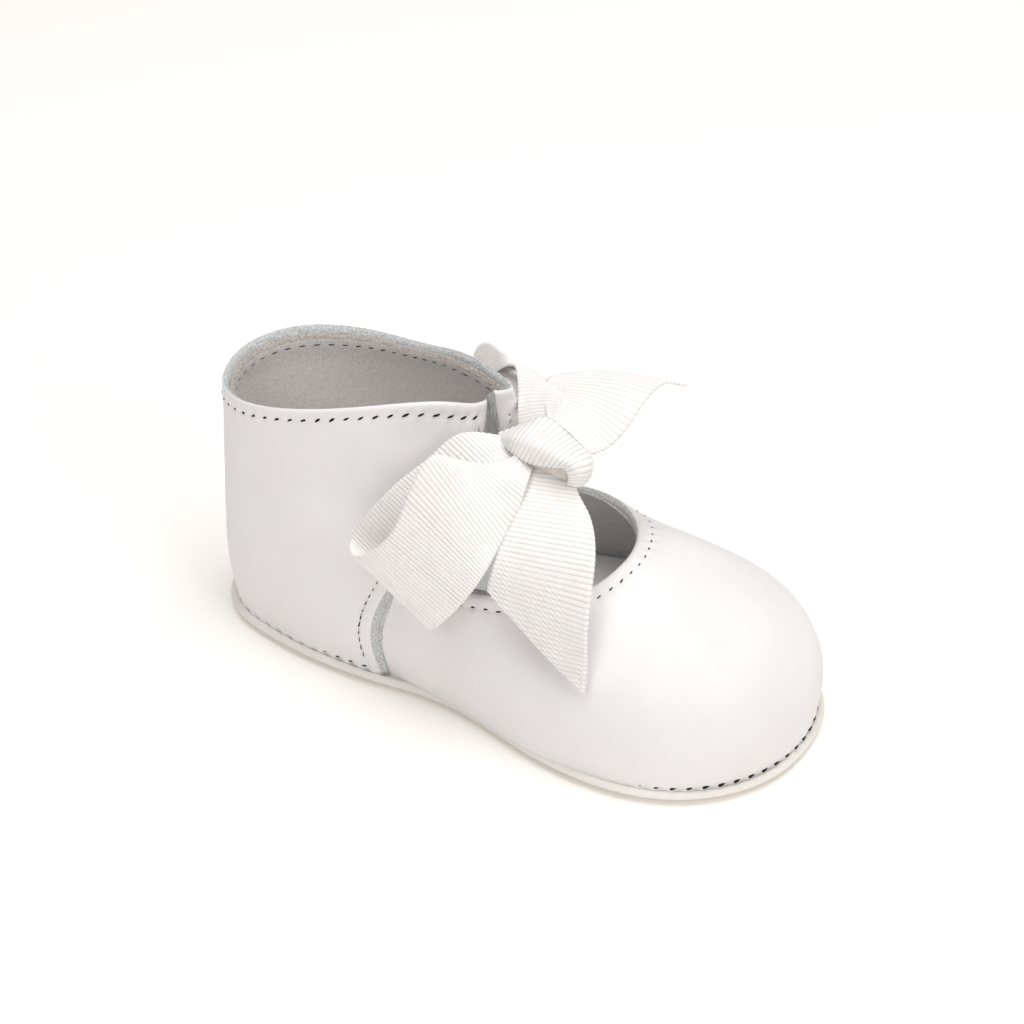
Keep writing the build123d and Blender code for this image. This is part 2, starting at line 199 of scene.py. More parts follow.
# --------------------------------------------------------------------------
# Meshes
# --------------------------------------------------------------------------
class Patchwork:
    """Collects grids of points and joins them along shared edges into one mesh."""

    def __init__(self) -> None:
        """Starts with no grids."""
        self.points: list[Array] = []
        self.faces: list[Array] = []
        self.coords: list[Array] = []
        self.slots: list[Array] = []
        self.total = 0

    def add(self, grid: Array, slot: int = 0, uv: Array | None = None,
            flip: bool = False, wrap: bool = False) -> None:
        """Adds a grid of quads.

        Args:
            grid: points in millimetres, rows by columns by 3.
            slot: index of the material the quads take.
            uv: texture coordinates of the points in millimetres.
            flip: turn the faces over.
            wrap: join the last row to the first.
        """
        rows, cols = grid.shape[:2]
        index = np.arange(rows * cols).reshape(rows, cols) + self.total
        uv = np.zeros((rows, cols, 2)) if uv is None else uv
        if wrap:
            index = np.vstack([index, index[:1]])
        quads = np.stack([index[:-1, :-1], index[1:, :-1], index[1:, 1:], index[:-1, 1:]], -1)
        quads = quads.reshape(-1, 4)
        self.points.append(grid.reshape(-1, 3))
        self.coords.append(uv.reshape(-1, 2))
        self.faces.append(quads[:, ::-1] if flip else quads)
        self.slots.append(np.full(len(quads), slot))
        self.total += rows * cols

    def take(self, other: "Patchwork") -> None:
        """Adds all the grids of another patchwork.

        Args:
            other: the patchwork to copy from.
        """
        self.points += other.points
        self.coords += other.coords
        self.faces += [quads + self.total for quads in other.faces]
        self.slots += other.slots
        self.total += other.total

    def build(self, name: str, materials: Sequence[bpy.types.Material],
              weld: float = 0.002, turn: bool = True) -> bpy.types.Object:
        """Makes the object, welds shared edges and turns the faces outwards.

        Args:
            name: name of the piece.
            materials: one for each slot that the grids use.
            weld: distance in millimetres under which points are joined.
            turn: recalculate the faces' side after welding.

        Returns:
            The new object, with its place in its mesh.
        """
        pts = np.concatenate(self.points) * MM
        quads = np.concatenate(self.faces)
        mesh = bpy.data.meshes.new(name)
        mesh.from_pydata(pts, [], quads.tolist())
        layer = mesh.uv_layers.new(name="UVMap")
        loops = np.concatenate(self.coords)[quads.reshape(-1)] * MM
        layer.data.foreach_set("uv", loops.astype(np.float32).ravel())
        mesh.polygons.foreach_set("material_index", np.concatenate(self.slots).astype(np.int32))
        mesh.polygons.foreach_set("use_smooth", np.ones(len(quads), bool))
        work = bmesh.new()
        work.from_mesh(mesh)
        bmesh.ops.remove_doubles(work, verts=work.verts, dist=weld * MM)
        bmesh.ops.dissolve_degenerate(work, edges=work.edges, dist=1e-7)
        if turn:
            bmesh.ops.recalc_face_normals(work, faces=work.faces)
        work.to_mesh(mesh)
        work.free()
        for material in materials:
            mesh.materials.append(material)
        obj = bpy.data.objects.new(name, mesh)
        bpy.context.scene.collection.objects.link(obj)
        return obj


def place(points: Array) -> Array:
    """Moves stations measured from the heel into the part's own frame.

    Args:
        points: stations in millimetres.

    Returns:
        The same points measured from the origin, in millimetres.
    """
    out = np.array(points, float)
    out[..., 0] -= MID_LENGTH
    return out


def mirrored(points: Sequence) -> list:
    """The same stations on the other side of the shoe, in reverse order."""
    return [(x, -y, *z) for x, y, *z in reversed(points)]


# --------------------------------------------------------------------------
# Materials
# --------------------------------------------------------------------------
def linear(code: str) -> tuple[float, float, float, float]:
    """Linear colour of an sRGB hex code such as F4F2F4, with alpha 1."""
    srgb = [int(code[i:i + 2], 16) / 255 for i in (0, 2, 4)]
    return (*[c / 12.92 if c <= 0.04045 else ((c + 0.055) / 1.055) ** 2.4 for c in srgb], 1.0)


class Recipe:
    """A node material under construction."""

    def __init__(self, name: str) -> None:
        """Starts an empty node tree with its output node.

        Args:
            name: name of the material.
        """
        self.material = bpy.data.materials.new(name)
        self.material.use_nodes = True
        self.tree = self.material.node_tree
        self.tree.nodes.clear()
        self.output = self.tree.nodes.new("ShaderNodeOutputMaterial")

    def node(self, kind: str, sockets: dict | None = None, **settings) -> bpy.types.Node:
        """Adds a node with its settings, socket values and links.

        Args:
            kind: node type without the ShaderNode prefix.
            sockets: input name or index to a value, or to an output socket to link.
            settings: attributes of the node.

        Returns:
            The new node.
        """
        made = self.tree.nodes.new("ShaderNode" + kind)
        for key, value in settings.items():
            setattr(made, key, value)
        for key, value in (sockets or {}).items():
            if isinstance(value, bpy.types.NodeSocket):
                self.tree.links.new(value, made.inputs[key])
            else:
                made.inputs[key].default_value = value
        return made

    def ramp(self, fac: bpy.types.NodeSocket,
             stops: Sequence[tuple[float, str]]) -> bpy.types.NodeSocket:
        """Adds a colour ramp.

        Args:
            fac: factor that runs along the ramp.
            stops: place and sRGB hex code of each stop, lowest first.

        Returns:
            The ramp's colour output.
        """
        made = self.node("ValToRGB", {"Fac": fac})
        ends = made.color_ramp.elements
        for i, (at, code) in enumerate(stops):
            element = ends[i] if i < 2 else ends.new(at)
            element.position, element.color = at, linear(code)
        return made.outputs["Color"]

    def finish(self, shader: bpy.types.Node) -> bpy.types.Material:
        """Links the shader to the surface output and returns the material."""
        self.tree.links.new(shader.outputs[0], self.output.inputs["Surface"])
        return self.material


@dataclass(frozen=True)
class Leather:
    """Chrome-tanned nappa with a sprayed pigment finish.

    A fine pebbled grain breaks up a soft, wide highlight, and light that enters
    the surface takes the hardness out of the shadows.
    """

    name: str = "nappa_leather_white"
    light: str = "F1EFEF"
    dark: str = "ECE9E8"
    roughness: float = 0.48
    grain_mm: float = 0.55
    pore_mm: float = 0.28
    relief_mm: float = 0.035
    drift_mm: float = 14

    def make(self) -> bpy.types.Material:
        """Builds the material: colour drift, pebbled grain and pores as bump.

        Returns:
            The finished material.
        """
        r = Recipe(self.name)
        at = r.node("TexCoord").outputs["Object"]
        drift = r.node("TexNoise", {"Vector": at, "Scale": 1 / (self.drift_mm * MM),
                                    "Detail": 3.0})
        colour = r.ramp(drift.outputs["Fac"], [(0.3, self.dark), (0.7, self.light)])
        cells = r.node("TexVoronoi", {"Vector": at, "Scale": 1 / (self.grain_mm * MM)},
                       feature="SMOOTH_F1")
        pores = r.node("TexNoise", {"Vector": at, "Scale": 1 / (self.pore_mm * MM),
                                    "Detail": 2.0, "Roughness": 0.6})
        grain = r.node("Math", {0: cells.outputs["Distance"], 1: pores.outputs["Fac"]},
                       operation="ADD")
        relief = r.node("Bump", {"Height": grain.outputs[0], "Strength": 0.22,
                                 "Distance": self.relief_mm * MM})
        return r.finish(r.node("BsdfPrincipled", {
            "Base Color": colour, "Roughness": self.roughness, "Specular IOR Level": 0.42,
            "Subsurface Weight": 0.12, "Subsurface Radius": (0.9, 0.6, 0.45),
            "Subsurface Scale": 0.9 * MM, "Normal": relief.outputs[0]}))


@dataclass(frozen=True)
class CutEdge:
    """Raw cut edge of chrome-tanned leather: cool grey, matt and fibrous.

    The speckle stands for fibre bundles, drawn coarser than they are so that
    they show.
    """

    name: str = "leather_cut_edge"
    light: str = "E4E5E4"
    dark: str = "9A9E9D"
    fibre_mm: float = 0.30
    relief_mm: float = 0.12

    def make(self) -> bpy.types.Material:
        """Builds the material: speckled fibres in colour and bump.

        Returns:
            The finished material.
        """
        r = Recipe(self.name)
        at = r.node("TexCoord").outputs["Object"]
        fibre = r.node("TexNoise", {"Vector": at, "Scale": 1 / (self.fibre_mm * MM),
                                    "Detail": 5.0, "Roughness": 0.7})
        colour = r.ramp(fibre.outputs["Fac"], [(0.34, self.dark), (0.62, self.light)])
        relief = r.node("Bump", {"Height": fibre.outputs["Fac"], "Strength": 0.9,
                                 "Distance": self.relief_mm * MM})
        return r.finish(r.node("BsdfPrincipled", {
            "Base Color": colour, "Roughness": 0.95, "Specular IOR Level": 0.2,
            "Sheen Weight": 0.25, "Normal": relief.outputs[0]}))


@dataclass(frozen=True)
class Lining:
    """Knitted cotton lining: heathered yarn in fine upright ribs, matt and dry."""

    name: str = "knitted_lining_grey"
    light: str = "F4F0ED"
    dark: str = "CBC4C0"
    rib_mm: float = 0.55
    yarn_mm: float = 0.32
    relief_mm: float = 0.14

    def make(self) -> bpy.types.Material:
        """Builds the material: ribs along V crossed with heathered noise.

        Returns:
            The finished material.
        """
        r = Recipe(self.name)
        at = r.node("TexCoord").outputs["UV"]
        ribs = r.node("TexWave", {"Vector": at, "Scale": 0.32 / (self.rib_mm * MM),
                                  "Distortion": 0.6, "Detail": 2.0, "Detail Scale": 1.6},
                      wave_type="BANDS", bands_direction="X")
        stretch = r.node("Mapping", {"Vector": at, "Scale": (1.0, 0.35, 1.0)})
        heather = r.node("TexNoise", {"Vector": stretch.outputs[0],
                                      "Scale": 1 / (self.yarn_mm * MM),
                                      "Detail": 4.0, "Roughness": 0.75})
        blend = r.node("Mix", {"Factor": 0.88, 2: ribs.outputs["Fac"],
                               3: heather.outputs["Fac"]}, data_type="FLOAT")
        colour = r.ramp(blend.outputs[0], [(0.32, self.dark), (0.68, self.light)])
        relief = r.node("Bump", {"Height": blend.outputs[0], "Strength": 0.6,
                                 "Distance": self.relief_mm * MM})
        return r.finish(r.node("BsdfPrincipled", {
            "Base Color": colour, "Roughness": 0.96, "Specular IOR Level": 0.15,
            "Sheen Weight": 0.2, "Normal": relief.outputs[0]}))


@dataclass(frozen=True)
class Grosgrain:
    """Woven polyester grosgrain: cross ribs over fine lengthwise warp threads.

    The ribs themselves are in the mesh; the material paints shade into the grooves
    between them as darker colour, and gives the weave its soft sheen.
    """

    name: str = "grosgrain_ribbon_ivory"
    light: str = "F9F7F5"
    dark: str = "F5F2EF"
    # groove: painted shade, the darker colour that the grooves between ribs take
    groove: str = "EEE9E5"
    warp_mm: float = 0.30
    slub_mm: float = 5.0
    relief_mm: float = 0.05

    def make(self) -> bpy.types.Material:
        """Builds the material: warp threads across the width, soft translucency.

        Returns:
            The finished material.
        """
        r = Recipe(self.name)
        at = r.node("TexCoord").outputs["UV"]
        warp = r.node("TexWave", {"Vector": at, "Scale": 0.32 / (self.warp_mm * MM),
                                  "Distortion": 0.8}, wave_type="BANDS", bands_direction="Y")
        slub = r.node("TexNoise", {"Vector": at, "Scale": 1 / (self.slub_mm * MM),
                                   "Detail": 2.0})
        tone = r.ramp(slub.outputs["Fac"], [(0.3, self.dark), (0.65, self.light)])
        # Painted shade: the colour darkens to the groove colour near each groove between ribs, by
        # the rib phase along U.
        run = r.node("SeparateXYZ", {0: at}).outputs["X"]
        count = r.node("Math", {0: run, 1: 1 / (RIB_MM * MM)}, operation="MULTIPLY")
        phase = r.node("Math", {0: count.outputs[0], 1: 0.5}, operation="PINGPONG")
        groove = r.ramp(phase.outputs[0], [(0.03, self.groove), (0.20, "FFFFFF")])
        mix = r.node("Mix", {"Factor": 1.0, 6: tone, 7: groove},
                     data_type="RGBA", blend_type="MULTIPLY")
        colour = mix.outputs[2]
        relief = r.node("Bump", {"Height": warp.outputs["Fac"], "Strength": 0.06,
                                 "Distance": self.relief_mm * MM})
        return r.finish(r.node("BsdfPrincipled", {
            "Base Color": colour, "Roughness": 0.62, "Specular IOR Level": 0.3,
            "Subsurface Weight": 0.15, "Subsurface Radius": (1.0, 0.8, 0.65),
            "Subsurface Scale": 0.7 * MM, "Sheen Weight": 0.3, "Sheen Roughness": 0.4,
            "Normal": relief.outputs[0]}))


@dataclass(frozen=True)
class Plain:
    """A matt finish with a soft mottle: thread, insole, foam, sole or floor."""

    name: str
    light: str
    dark: str
    mottle_mm: float
    roughness: float = 0.85
    relief_mm: float = 0.05
    specular: float = 0.25

    def make(self) -> bpy.types.Material:
        """Builds the material: mottled colour and a matching bump.

        Returns:
            The finished material.
        """
        r = Recipe(self.name)
        at = r.node("TexCoord").outputs["Object"]
        spots = r.node("TexNoise", {"Vector": at, "Scale": 1 / (self.mottle_mm * MM),
                                    "Detail": 4.0, "Roughness": 0.6})
        colour = r.ramp(spots.outputs["Fac"], [(0.35, self.dark), (0.65, self.light)])
        relief = r.node("Bump", {"Height": spots.outputs["Fac"], "Strength": 0.4,
                                 "Distance": self.relief_mm * MM})
        return r.finish(r.node("BsdfPrincipled", {
            "Base Color": colour, "Roughness": self.roughness,
            "Specular IOR Level": self.specular, "Normal": relief.outputs[0]}))


@dataclass(frozen=True)
class Paper:
    """Seamless white paper lit softly from behind, as on a product table."""

    name: str = "seamless_paper_white"
    colour: str = "FFFCF8"
    glow: float = 0.06

    def make(self) -> bpy.types.Material:
        """Builds the material: matt white with an even glow through the paper.

        Returns:
            The finished material.
        """
        r = Recipe(self.name)
        return r.finish(r.node("BsdfPrincipled", {
            "Base Color": linear(self.colour), "Roughness": 0.9, "Specular IOR Level": 0.1,
            "Emission Color": linear(self.colour), "Emission Strength": self.glow}))


# --------------------------------------------------------------------------
# The shoe's own shape
# --------------------------------------------------------------------------
@dataclass
class Last:
    """Stations of the shoe, from which every face is worked out."""

    sole_right: list = field(default_factory=lambda: [
        (-2.0, 0), (4.4, -12.5), (13.3, -16.2), (21.5, -18.1), (29, -18.9), (38, -19.1),
        (46, -18.7), (54, -19.4), (62, -21.5), (71, -24.3), (80, -26.0), (89, -26.1),
        (98, -23.8), (106.4, -18.0), (112.0, -9.6), (114.0, 0)])
    sole_left: list = field(default_factory=lambda: [
        (112.7, 10.7), (107.2, 18.9), (99, 23.9), (89, 25.6), (80, 25.2), (71, 23.8),
        (62, 21.6), (54, 19.7), (46, 18.9), (38, 18.9), (29, 18.7), (21.5, 18.0),
        (13.3, 16.1), (4.4, 12.4)])
    quarter_right: list = field(default_factory=lambda: [
        [(38.2, -18.0, 4.2), (36.9, -18.9, 10), (38.9, -18.9, 19.5),
         (45.0, -15.4, 31.5), (49.4, -3.0, 40.5), (50.2, 2.2, 53.6)],
        [(34.0, -17.9, 4.1), (32.8, -18.8, 10), (34.3, -18.8, 20),
         (39.5, -16.6, 32), (47.4, -8.8, 43.2), (49.4, -1.4, 54.4)],
        [(28.5, -17.6, 4), (28.0, -18.5, 10), (29.0, -18.5, 20),
         (32.3, -17.0, 32), (40.0, -13.0, 44), (45.6, -7.3, 55.6)],
        [(21.5, -16.9, 4), (21.3, -17.7, 10), (21.8, -17.9, 20),
         (23.5, -17.3, 32), (27.5, -16.0, 43.5), (33.5, -12.9, 54.2)],
        [(13.8, -15.0, 4), (13.4, -15.9, 10), (13.4, -16.3, 20),
         (14.0, -16.4, 32), (15.5, -16.4, 42.8), (19.0, -16.3, 51.4)],
        [(5.4, -11.6, 4), (4.4, -12.2, 10), (4.2, -12.3, 20),
         (4.8, -12.4, 32), (5.6, -12.7, 42), (6.4, -13.1, 50.6)]])
    quarter_heel: list = field(default_factory=lambda: [
        (-0.8, 0, 4), (-1.6, 0, 10), (-1.6, 0, 20), (-1.0, 0, 32), (-0.3, 0, 42), (0.2, 0, 50.7)])
    left_ear: list = field(default_factory=lambda: [
        [(28.5, 17.6, 4), (28.0, 18.5, 10), (29.0, 18.5, 20),
         (32.5, 17.0, 32), (40.5, 13.0, 44.2), (44.6, 8.6, 57.0)],
        [(34.0, 17.9, 4.1), (32.8, 18.8, 10), (34.3, 18.8, 20),
         (40.0, 16.7, 32), (51.4, 9.9, 43.5), (53.0, 5.6, 55.4)],
        [(38.2, 18.0, 4.2), (36.9, 18.9, 10), (38.9, 18.9, 19.5),
         (46.5, 15.9, 31.5), (51.9, 5.2, 41.5), (51.8, 1.4, 56.3)]])
    seam_right: list = field(default_factory=lambda: [
        (33.5, -16.1), (39, -16.7), (46, -17.9), (54, -19.1), (62, -21.2), (71, -23.8),
        (80, -25.0), (89, -24.7), (98, -22.4), (105.8, -16.8), (110.9, -9.0), (112.8, 0)])
    seam_left: list = field(default_factory=lambda: [
        (111.4, 10.2), (106.2, 18.0), (98, 22.6), (89, 24.2), (80, 23.8), (71, 22.4),
        (62, 20.2), (54, 18.2), (46, 17.2), (39, 16.4), (33.5, 16.1)])
    throat: list = field(default_factory=lambda: [
        (33.5, -16.6, 16), (38.5, -17.1, 19.8), (45, -18.0, 23.5), (51.5, -18.4, 26.3),
        (57.5, -18.6, 28.0), (63.5, -18.3, 29.0), (68.7, -16.8, 29.4), (72.7, -14.0, 29.6),
        (75.6, -10.0, 30.0), (77.3, -5.8, 30.5), (78.1, -2.4, 30.9), (78.3, 0, 31.0)])
    seam_height: float = 4.0
    tuck: float = 0.9
    tuck_reach: float = 1.5
    settle: float = 1.45
    settle_top: float = 13.0
    fold_reach: float = 30
    bulge_back: float = 0.9
    bulge_growth: float = 0.12
    bulge_most: float = 2.6
    bulge_toe: float = 1.9
    # How far the rim's right stations stand above the last's own line
    right_rise: tuple = (0.2, 0.4, 1.8, 1.8, 1.9, 0.5)

    def quarter(self, u: Array, v: Array) -> Array:
        """Outer face of the quarter.

        Args:
            u: values from the right ear (0) round the heel to the left ear (1).
            v: values from the sole seam (0) to the rim (1).

        Returns:
            Grid of points in the part's frame.
        """
        right = self.quarter_right
        left = [mirrored(row)[::-1] for row in right[:2:-1]]
        grid = np.array(right + [self.quarter_heel] + left + self.left_ear, float)
        grid[:len(right), -1, 2] += self.right_rise
        return self.tucked(surface_through(grid, u, v))

    def vamp(self, u: Array, v: Array) -> Array:
        """Outer face of the vamp.

        Each profile is a cubic Bezier curve. Its lower handle bulges outwards from
        the seam, most at the toe, and its upper handle lies back from the throat.

        Args:
            u: values along the seam from the back right (0) round the toe.
            v: values from the seam (0) to the throat's edge (1).

        Returns:
            Grid of points in the part's frame.
        """
        seam = np.array(self.seam_right + self.seam_left, float)
        edge = np.array(self.throat + mirrored(self.throat[:-1]), float)
        base = np.column_stack([seam, np.full(len(seam), self.seam_height)])
        along = np.gradient(seam, axis=0)
        along[[0, -1]] = seam[[1, -1]] - seam[[0, -2]]
        out = unit(np.column_stack([along[:, 1], -along[:, 0]]))
        run = edge[:, :2] - seam
        reach = np.linalg.norm(run, axis=1)
        fold = np.minimum(reach / self.fold_reach, 1)
        rise = edge[:, 2] - self.seam_height
        growth = self.bulge_growth * (seam[:, 0] - seam[0, 0])
        bulge = np.minimum(self.bulge_most, self.bulge_back + growth) + self.bulge_toe * fold
        lower = np.column_stack([seam + out * bulge[:, None],
                                 self.seam_height + rise * (0.42 + 0.16 * fold)])
        upper = np.column_stack([edge[:, :2] - run * (0.56 * fold)[:, None],
                                 edge[:, 2] - rise * 0.34 * (1 - fold) - 0.6 * fold])
        s = np.linspace(0, 1, 9)[None, :, None]
        grid = ((1 - s) ** 3 * base[:, None] + 3 * (1 - s) ** 2 * s * lower[:, None]
                + 3 * (1 - s) * s * s * upper[:, None] + s ** 3 * edge[:, None])
        return self.tucked(surface_through(grid, u, v))

    def tucked(self, grid: Array) -> Array:
        """Settles the foot of an upper onto the sole and tucks its edge into the groove.

        The tuck fades linearly above the seam, the settling by a smooth step.

        Args:
            grid: points measured from the heel, which are changed.

        Returns:
            The points in the part's frame.
        """
        z = grid[..., 2].copy()
        grid[..., 2] -= self.tuck * np.clip(1 - (z - self.seam_height) / self.tuck_reach, 0, 1)
        grid[..., 2] -= self.settle * (1 - smooth(z, self.seam_height, self.settle_top))
        return place(grid)

    def sole_line(self, count: int) -> Array:
        """Widest line of the sole, a closed spline in plan.

        The ring is run past its start at both ends, so that the curve closes
        smoothly.

        Args:
            count: number of points.

        Returns:
            Evenly spread points in the part's frame, the last one before the first.
        """
        pts = np.array(self.sole_right + self.sole_left, float)
        ring = np.vstack([pts[-4:], pts, pts[:5]])
        knots = chord(ring)
        s = np.linspace(knots[4], knots[4 + len(pts)], count, endpoint=False)
        return place(curve_through(ring, count, s))


def inward(points: Array, depth: Array | float) -> Array:
    """Grid moved towards the inside of the shoe along its normals.

    The normal's side is the one that faces the shoe's middle line at the
    grid's lower middle.

    Args:
        points: grid of points.
        depth: distance, or one for each point.

    Returns:
        The moved grid.
    """
    facing = normals(points)
    i, j = points.shape[0] // 2, points.shape[1] // 3
    inside = -np.sign(facing[i, j, 0] * (points[i, j, 0] - 10.0))
    depth = depth if np.ndim(depth) == 0 else np.asarray(depth)[..., None]
    return points + facing * inside * depth


class Side(Enum):
    """The four sides of a grid of rows (u) by columns (v)."""

    LOW_U = 0
    HIGH_U = 1
    LOW_V = 2
    HIGH_V = 3


def border(grid: Array, side: Side) -> Array:
    """Points of a grid along one of its sides."""
    return {Side.LOW_U: grid[0], Side.HIGH_U: grid[-1],
            Side.LOW_V: grid[:, 0], Side.HIGH_V: grid[:, -1]}[side]


def cut_strip(outer: Array, inner: Array, side: Side, rows: int, swell: float,
              fuzz: float, seed: int) -> Array:
    """Cut edge between the two faces of a sheet.

    The strip is a straight blend from one face's border to the other's, plus a
    half sine swell away from the sheet and fibre noise. Both fade out at the
    corners, where strips meet.

    Args:
        outer: the sheet's outer face.
        inner: its inner face.
        side: the side of both faces that the strip closes.
        rows: points across the edge.
        swell: how far the middle of the edge stands out.
        fuzz: height of the fibres.
        seed: seed of the fibre noise.

    Returns:
        Grid of points, along the edge by across it.
    """
    a, b = border(outer, side), border(inner, side)
    second = {Side.LOW_U: outer[1], Side.HIGH_U: outer[-2],
              Side.LOW_V: outer[:, 1], Side.HIGH_V: outer[:, -2]}[side]
    out = unit(a - second)[:, None]
    t = np.linspace(0, 1, rows)[None, :, None]
    n = len(a)
    fade = np.minimum(np.arange(n), np.arange(n)[::-1])[:, None, None] / 4
    fade = np.clip(fade, 0, 1) * np.sin(np.pi * t) ** 0.5
    s = arc(a[:, None], 0)
    fibre = noise(s / 0.45 + seed, t[..., 0] * rows / 2.0, seed)[..., None]
    fibre += 0.7 * noise(s / 0.9, t[..., 0] * 3 + seed, seed + 1)[..., None]
    return a[:, None] * (1 - t) + b[:, None] * t + out * fade * (
        swell * np.sin(np.pi * t) + fuzz * fibre)


def sheet_mesh(outer: Array, inner: Array, slots: Sequence[int], rows: int = 7,
               swell: float = 0.2, fuzz: float = 0.0, seed: int = 1) -> Patchwork:
    """Closed sheet from its two faces and four cut edges.

    Args:
        outer: outer face.
        inner: inner face, of the same size.
        slots: material of the outer face, the inner face and the four edges.
        rows: points across each edge.
        swell: how far the edges swell.
        fuzz: height of the fibres on the edges.
        seed: seed of the fibre noise.

    Returns:
        The patches, ready to be built.
    """
    work = Patchwork()
    uv = np.stack([arc(outer, 0), arc(outer[:, ::-1], 1)[:, ::-1]], -1)
    work.add(outer, slots[0], uv)
    work.add(inner, slots[1], uv, flip=True)
    for k, side in enumerate(Side):
        strip = cut_strip(outer, inner, side, rows, swell, fuzz, seed + 10 * k)
        strip_uv = np.stack([arc(strip, 0), arc(strip, 1)], -1)
        work.add(strip, slots[2 + k], strip_uv, flip=side in (Side.HIGH_U, Side.LOW_V))
    return work


@dataclass(frozen=True)
class Row:
    """A stitch row along a line of a face: holes, puckers and thread."""

    pitch: float = 2.7
    length: float = 1.25
    width: float = 0.50
    slant: float = 0.30
    sink: float = 0.10
    dent: float = 0.26
    pucker: float = 0.07
    groove: float = 0.06
    hollow_reach: float = 0.55
    pucker_reach: float = 1.7
    groove_reach: float = 0.4
    least: float = 0.15

    def relief(self, s: Array, d: Array) -> Array:
        """Depth of the leather round the row.

        A groove with a hollow at each stitch, and a slight swelling between the
        holes beside it.

        Args:
            s: distance along the row.
            d: distance from the row.

        Returns:
            Depth towards the inside, in millimetres.
        """
        wave = np.cos(2 * np.pi * s / self.pitch)
        hollow = self.dent * np.exp(-(d / self.hollow_reach) ** 2) * (0.5 + 0.5 * wave)
        beside = self.pucker * np.exp(-(d / self.pucker_reach) ** 2) * wave
        return hollow + beside + self.groove * np.exp(-(d / self.groove_reach) ** 2)

    def thread(self, line: Array, facing: Array, seed: int, size: Callable | None = None,
               slant: Callable | None = None) -> Patchwork:
        """Stitches as short wedges of thread that dive into the leather at both ends.

        Each stitch is an ellipse section carried along its length; the section's
        radius is a squared sine, fuller at the back than at the front.

        Args:
            line: points of the row, evenly enough spread to read directions from.
            facing: outward normals at those points.
            seed: seed of the small differences between stitches.
            size: scale of a stitch as a function of the fraction along the row;
                a stitch smaller than the least scale is left out.
            slant: turn of a stitch in radians as a function of the same fraction.

        Returns:
            The patches of all the stitches.
        """
        run = arc(line[:, None], 0)[:, 0]
        count = int(run[-1] / self.pitch)
        at = (np.arange(count) + 0.5) * self.pitch
        centre = np.stack([np.interp(at, run, line[:, k]) for k in range(3)], -1)
        up = unit(np.stack([np.interp(at, run, facing[:, k]) for k in range(3)], -1))
        ahead = np.stack([np.interp(at + 0.4, run, line[:, k]) for k in range(3)], -1)
        along = unit(ahead - centre)
        side = np.cross(up, along)
        rng = np.random.default_rng(seed)
        frac = at / run[-1]
        turn = (np.full(count, self.slant) if slant is None else slant(frac))
        turn = turn + rng.normal(0, 0.06, count)
        scale = (np.ones(count) if size is None else size(frac)) * rng.normal(1, 0.07, count)
        direction = along * np.cos(turn)[:, None] + side * np.sin(turn)[:, None]
        across = np.cross(up, direction)
        t = np.linspace(0, 1, 7)
        ring = np.linspace(0, 2 * np.pi, 8, endpoint=False)
        radius = np.sin(np.pi * t) ** 0.6 * (1.15 - 0.45 * t)
        work = Patchwork()
        for i in np.flatnonzero(scale > self.least):
            spine = (t - 0.5)[:, None, None] * self.length * scale[i] * direction[i]
            round_ = radius[:, None, None] * scale[i] * 0.5 * (
                np.cos(ring)[None, :, None] * across[i] * self.width
                + np.sin(ring)[None, :, None] * up[i] * self.width * 0.55)
            body = centre[i] - up[i] * self.sink + spine + round_
            work.add(body.transpose(1, 0, 2), wrap=True)
        return work


def finish_piece(obj: bpy.types.Object, slot: str, *nodes: str, body: str = "shoe") -> None:
    """Makes a piece ride on a body and stand for CAD nodes.

    Args:
        obj: the piece.
        slot: its finish slot; not used.
        nodes: the CAD nodes that it replaces.
        body: the body that it rides on.
    """
    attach(obj, body)
    if nodes:
        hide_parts(*nodes)
    LOG.info("%s: %d faces, rides on %s", obj.name, len(obj.data.polygons), body)


